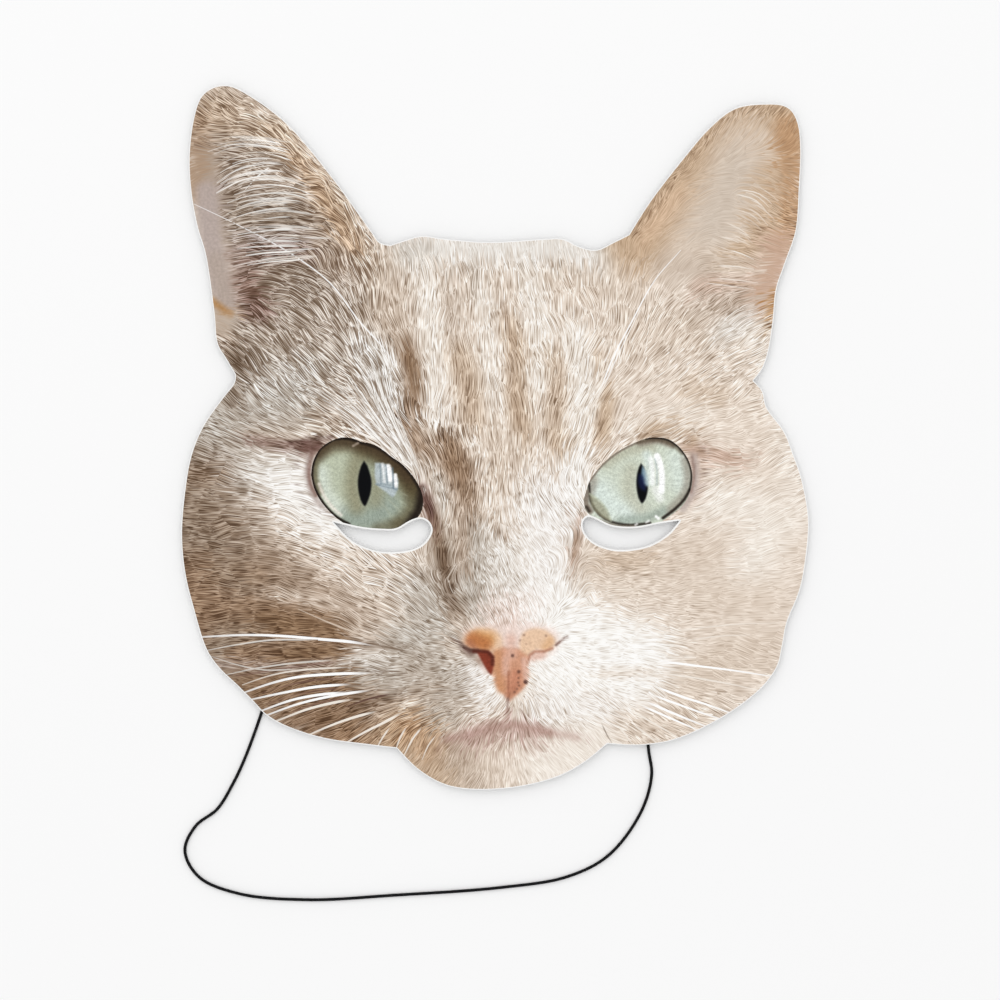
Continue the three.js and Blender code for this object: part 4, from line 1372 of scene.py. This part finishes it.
# Noise drawn out along the hair's way: how fine along and across, and where it starts
strandNoise = {
    "clumps": (0.6, 0.35, 0.0),
    "locks": (1.0, 1.2, 40.0),
    "gaps": (0.8, 1.0, 80.0),
    "hairs": (0.7, 1.05, 160.0),
    "tones": (0.5, 0.8, 120.0),
}
hairShade = {
    "layerShift": (13.7, 7.3),     # mm from layer to layer
    "tuftShift": (91.0, 73.0),     # noise from tuft to tuft, along and across
    "bend": 0.016,                 # of a tuft's hairs
    "line": (0.02, 0.19),          # noise at a single hair's middle and edge
    "gapLocks": (-0.22, 0.14),     # gaps show most in the lower locks
    "hairLocks": (-0.14, 0.22),    # and hairs in the higher
    "faint": 0.3,                  # what shows of them elsewhere
    "clumps": 0.35,                # how far each one lightens or darkens
    "locks": 0.75,
    "gaps": -0.95,
    "hairs": 0.8,
    "settle": 0.12,                # taken off clumps and locks
    "light": (0.24, 1.8),          # darkest and lightest
    "warmth": (0.84, 1.0, 1.16),   # dark hairs are warmer
    "toneShift": 3.2,
    "white": (0.97, 0.96, 0.945),  # no lighter than this
    "tuftEdge": (0.3, 0.62),       # of the tuft's size
    "fray": 1.2,
    "cover": (0.3, 0.6),
}


# One layer of hair over what lies under it. Tufts turn a little from each other, and each strand takes the
# coat's tone from a little ahead or behind, so that marks end in hairs
def makeHairGroup():
    group, given, out = newGroup(
        "hairLayer",
        [("Under", "colour"), ("Coat", "colour"), ("Ahead", "colour"), ("Behind", "colour"),
         ("Place", "vector"), ("Flow", "vector"), ("Strength", "value"), ("Size", "value"), ("Tuft", "value"),
         ("Length", "value"), ("Width", "value"), ("Spread", "value"), ("Cover", "value"), ("Seed", "value")],
        [("Colour", "colour")],
    )
    g = group
    shift = combine(g, *[calc(g, "MULTIPLY", given["Seed"], far) for far in hairShade["layerShift"]])
    place = vector(g, "ADD", given["Place"], shift)
    tufts = addNode(g, "ShaderNodeTexVoronoi", {"Vector": place}, voronoi_dimensions="2D", feature="F1")
    feed(g, tufts.inputs["Scale"], calc(g, "DIVIDE", 1.0, given["Tuft"]))
    away = vector(g, "SUBTRACT", place, tufts.outputs["Position"])
    own = separate(g, tufts.outputs["Color"])
    turn = calc(g, "MULTIPLY", calc(g, "SUBTRACT", own[0], 0.5), given["Spread"])
    cosTurn, sinTurn = calc(g, "COSINE", turn), calc(g, "SINE", turn)
    flow = separate(g, given["Flow"])
    flowX = calc(g, "SUBTRACT", calc(g, "MULTIPLY", flow[0], cosTurn), calc(g, "MULTIPLY", flow[1], sinTurn))
    flowY = calc(g, "ADD", calc(g, "MULTIPLY", flow[0], sinTurn), calc(g, "MULTIPLY", flow[1], cosTurn))
    apart = separate(g, away)
    along = calc(g, "ADD", calc(g, "MULTIPLY", apart[0], flowX), calc(g, "MULTIPLY", apart[1], flowY))
    across = calc(g, "SUBTRACT", calc(g, "MULTIPLY", apart[1], flowX), calc(g, "MULTIPLY", apart[0], flowY))
    bend = calc(g, "MULTIPLY", calc(g, "SUBTRACT", own[1], 0.5), hairShade["bend"])
    across = calc(g, "ADD", across, calc(g, "MULTIPLY", bend, calc(g, "MULTIPLY", along, along)))
    length = calc(g, "MULTIPLY", given["Length"], given["Size"])
    tuftAlong, tuftAcross = hairShade["tuftShift"]
    lengthwise = calc(g, "MULTIPLY_ADD", own[2], tuftAlong, calc(g, "DIVIDE", along, length))
    sideways = calc(g, "MULTIPLY_ADD", own[1], tuftAcross, calc(g, "DIVIDE", across, given["Width"]))

    def strands(name):
        longer, wider, start = strandNoise[name]
        far = calc(g, "MULTIPLY_ADD", lengthwise, longer, start)
        spot = combine(g, far, calc(g, "MULTIPLY", sideways, wider))
        return calc(g, "SUBTRACT", noise(g, spot, 1.0, 0.0)[0], 0.5)

    # single hairs are the thin lines where the drawn-out noise crosses its middle
    def lines(name, shown):
        line = fade(g, calc(g, "ABSOLUTE", strands(name)), *hairShade["line"], 1.0, 0.0)
        return calc(g, "MULTIPLY", line, shown)

    clumps, locks = strands("clumps"), strands("locks")
    gaps = lines("gaps", fade(g, locks, *hairShade["gapLocks"], 1.0, hairShade["faint"]))
    hairs = lines("hairs", fade(g, locks, *hairShade["hairLocks"], hairShade["faint"], 1.0))
    slow = calc(g, "MULTIPLY", locks, hairShade["locks"])
    slow = calc(g, "MULTIPLY_ADD", clumps, hairShade["clumps"], slow)
    light = calc(g, "MULTIPLY_ADD", calc(g, "SUBTRACT", slow, hairShade["settle"]), given["Strength"], 1.0)
    for line, name in ((gaps, "gaps"), (hairs, "hairs")):
        depth = calc(g, "MULTIPLY", given["Strength"], hairShade[name])
        light = calc(g, "MULTIPLY", light, calc(g, "MULTIPLY_ADD", line, depth, 1.0))
    darkest, lightest = hairShade["light"]
    light = calc(g, "MINIMUM", calc(g, "MAXIMUM", light, darkest), lightest)
    # the coat's tone from ahead or behind
    shifted = calc(g, "MULTIPLY", strands("tones"), hairShade["toneShift"])
    ahead = calc(g, "MAXIMUM", shifted, 0.0, clamp=True)
    behind = calc(g, "MULTIPLY", calc(g, "MINIMUM", shifted, 0.0), -1.0, clamp=True)
    colour = mixColour(g, behind, mixColour(g, ahead, given["Coat"], given["Ahead"]), given["Behind"])
    tint = combine(g, *[calc(g, "POWER", light, power) for power in hairShade["warmth"]])
    colour = vector(g, "MINIMUM", vector(g, "MULTIPLY", colour, tint), hairShade["white"])
    fromMiddle = calc(g, "DIVIDE", vector(g, "LENGTH", away), given["Tuft"])
    inTuft = fade(g, fromMiddle, *hairShade["tuftEdge"], 1.0, 0.0)
    frayed = calc(g, "ADD", calc(g, "MULTIPLY_ADD", locks, hairShade["fray"], inTuft), given["Cover"])
    mask = fade(g, frayed, *hairShade["cover"])
    feed(g, out["Colour"], mixColour(g, mask, given["Under"], colour))
    return group


hairLayers = [  # tuft, length, width in mm, spread in radians, cover between tufts
    (12.0, 9.0, 0.54, 0.3, 1.0),
    (9.0, 8.4, 0.48, 0.5, 0.0),
    (13.0, 9.4, 0.44, 0.45, 0.0),
    (8.0, 8.4, 0.42, 0.6, 0.0),
    (10.0, 9.2, 0.4, 0.6, 0.0),
]
furPrint = {
    "swayScale": 0.09,   # to a millimetre
    "sway": 0.13,
    "poreScale": 1.1,
    "pores": 0.45,       # on bare skin
}
printFinish = {"tooth": 3.2, "sheen": 0.46, "unevenness": 0.12, "depth": 0.00002, "specular": 0.05}


def furMaterial():
    material, tree, shader = newMaterial("furPrint", Specular_IOR_Level=printFinish["specular"])
    place = millimetres(tree)
    coat, ahead, behind = (attribute(tree, name)["Color"] for name in ("coat", "coatAhead", "coatBehind"))
    style = separate(tree, attribute(tree, "hairStyle")["Vector"])
    strength, size = style[0], style[1]
    sway = vector(tree, "SUBTRACT", noise(tree, place, furPrint["swayScale"], 1.0)[1], (0.5, 0.5, 0.5))
    sway = vector(tree, "SCALE", sway, scale=furPrint["sway"])
    wavy = vector(tree, "ADD", attribute(tree, "hairFlow")["Vector"], sway)
    flow = vector(tree, "NORMALIZE", vector(tree, "MULTIPLY", wavy, (1.0, 1.0, 0.0)))
    colour = coat
    group = makeHairGroup()
    for seed, (tuft, length, width, spread, cover) in enumerate(hairLayers):
        colour = placeGroup(
            tree, group, Under=colour, Coat=coat, Ahead=ahead, Behind=behind, Place=place, Flow=flow,
            Strength=strength, Size=size, Tuft=tuft, Length=length, Width=width, Spread=spread, Cover=cover,
            Seed=float(seed + 1),
        )["Colour"]
    pores = calc(tree, "SUBTRACT", noise(tree, place, furPrint["poreScale"], 2.0)[0], 0.5)
    pores = calc(tree, "MULTIPLY", pores, furPrint["pores"])
    bare = calc(tree, "SUBTRACT", 1.0, style[2])
    colour = vector(tree, "SCALE", colour, scale=calc(tree, "MULTIPLY_ADD", pores, bare, 1.0))
    strand = attribute(tree, "longHair")
    colour = mixColour(tree, strand["Alpha"], colour, strand["Color"])
    feed(tree, shader.inputs["Base Color"], colour)
    paperFinish(tree, shader, place, printFinish)
    return material


# Noise on the irises, and the light that it gives
iris = {
    "spokes": (9.0, 0.05),          # fibres round the middle, and along themselves
    "fibreScale": 1.6,
    "fibres": (0.25, 0.75, 0.9, 1.07),
    "fleckScale": 1.1,
    "flecks": (0.3, 0.7, -0.08, 0.08),
    "grainScale": 2.6,
    "grain": (0.25, 0.75, -0.08, 0.08),
}


def eyeMaterial():
    material, tree, shader = newMaterial("eyePrint", Specular_IOR_Level=printFinish["specular"])
    place = millimetres(tree)
    tint = attribute(tree, "eyeTint")["Color"]
    ray = separate(tree, attribute(tree, "eyeRay")["Vector"])
    spokes = combine(tree, *[calc(tree, "MULTIPLY", part, fine) for part, fine in zip(ray, iris["spokes"])])
    fibres = noise(tree, spokes, iris["fibreScale"], 3.0)[0]
    flecks = noise(tree, place, iris["fleckScale"], 2.0)[0]
    grain = noise(tree, place, iris["grainScale"], 1.0)[0]
    light = fade(tree, fibres, *iris["fibres"])
    light = calc(tree, "ADD", light, fade(tree, flecks, *iris["flecks"]))
    light = calc(tree, "ADD", light, fade(tree, grain, *iris["grain"]))
    feed(tree, shader.inputs["Base Color"], vector(tree, "SCALE", tint, scale=light))
    paperFinish(tree, shader, place, printFinish)
    return material


boardStock = {
    "tooth": 4.5,
    "sheen": 0.72,
    "unevenness": 0.1,
    "depth": 0.00003,
    "specular": 0.25,
    "fibre": (0.6, 2.4, 2.4),   # drawn out across the sheet
    "fibreScale": 1.3,
    "shades": (0.3, 0.7),
    "dark": (0.86, 0.855, 0.84, 1),
    "light": (0.93, 0.925, 0.915, 1),
}


def boardMaterial():
    material, tree, shader = newMaterial("cardBoard", Specular_IOR_Level=boardStock["specular"])
    place = millimetres(tree)
    paper = paperFinish(tree, shader, place, boardStock)
    drawnOut = vector(tree, "MULTIPLY", place, boardStock["fibre"])
    fibre = noise(tree, drawnOut, boardStock["fibreScale"], 3.0, flat=False)[0]
    plainColour(tree, shader, paper, fibre, boardStock)
    return material


printedCard = makeCard()
for material in (furMaterial(), eyeMaterial(), boardMaterial()):
    printedCard.data.materials.append(material)


# Pads on the back: the solids themselves, in white foam paper

padStock = {
    "tooth": 3.0,
    "sheen": 0.85,
    "unevenness": 0.08,
    "depth": 0.00006,
    "specular": 0.2,
    "cells": 2.2,               # to a millimetre
    "shades": (0.2, 0.7),
    "dark": (0.74, 0.73, 0.7, 1),
    "light": (0.87, 0.86, 0.83, 1),
}


def padMaterial():
    material, tree, shader = newMaterial("padFoam", Specular_IOR_Level=padStock["specular"])
    place = millimetres(tree)
    paper = paperFinish(tree, shader, place, padStock)
    cells = addNode(tree, "ShaderNodeTexVoronoi", {"Vector": place, "Scale": padStock["cells"]})
    plainColour(tree, shader, paper, cells.outputs["Distance"], padStock)
    return material


foam = padMaterial()
for name in ("cord_pad_left", "cord_pad_right"):
    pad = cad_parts[name]
    pad.data.materials.clear()
    pad.data.materials.append(foam)
print("pads finished")


# Stage: a plain pale floor and soft light

stage = {
    "floorSide": 8.0,
    "floorColour": (0.93, 0.93, 0.93, 1),
    "floorRoughness": 0.9,
    "skyHigh": 1.3,           # straight above
    "skyLow": 0.8,            # around
    "skyEdge": (0.76, 0.93),  # heights between which one becomes the other
    "lampPlace": (-0.5, 1.5, 1.6),
    "lampPower": 7.0,
    "lampSize": 1.8,
}


def makeFloor():
    half = stage["floorSide"] / 2
    mesh = bpy.data.meshes.new("floor")
    corners = [(-half, -half, 0), (half, -half, 0), (half, half, 0), (-half, half, 0)]
    mesh.from_pydata(corners, [], [(0, 1, 2, 3)])
    material, tree, shader = newMaterial("floor", Roughness=stage["floorRoughness"], Specular_IOR_Level=0.0)
    shader.inputs["Base Color"].default_value = stage["floorColour"]
    mesh.materials.append(material)
    floor = bpy.data.objects.new("floor", mesh)
    scene.collection.objects.link(floor)


def makeSky():
    world = bpy.data.worlds.new("studio")
    scene.world = world
    world.use_nodes = True
    tree = world.node_tree
    height = separate(tree, addNode(tree, "ShaderNodeTexCoord").outputs["Generated"])["Z"]
    strength = fade(tree, height, *stage["skyEdge"], stage["skyLow"], stage["skyHigh"])
    background = tree.nodes["Background"]
    background.inputs["Color"].default_value = (1, 1, 1, 1)
    feed(tree, background.inputs["Strength"], strength)


def makeLamp():
    data = bpy.data.lights.new("lamp", "AREA")
    data.shape = "DISK"
    data.size = stage["lampSize"]
    data.energy = stage["lampPower"]
    lamp = bpy.data.objects.new("lamp", data)
    lamp.location = stage["lampPlace"]
    lamp.rotation_euler = (-lamp.location).to_track_quat("-Z", "Y").to_euler()
    scene.collection.objects.link(lamp)


makeFloor()
makeSky()
makeLamp()
scene.view_settings.view_transform = "Standard"
print("stage lit")
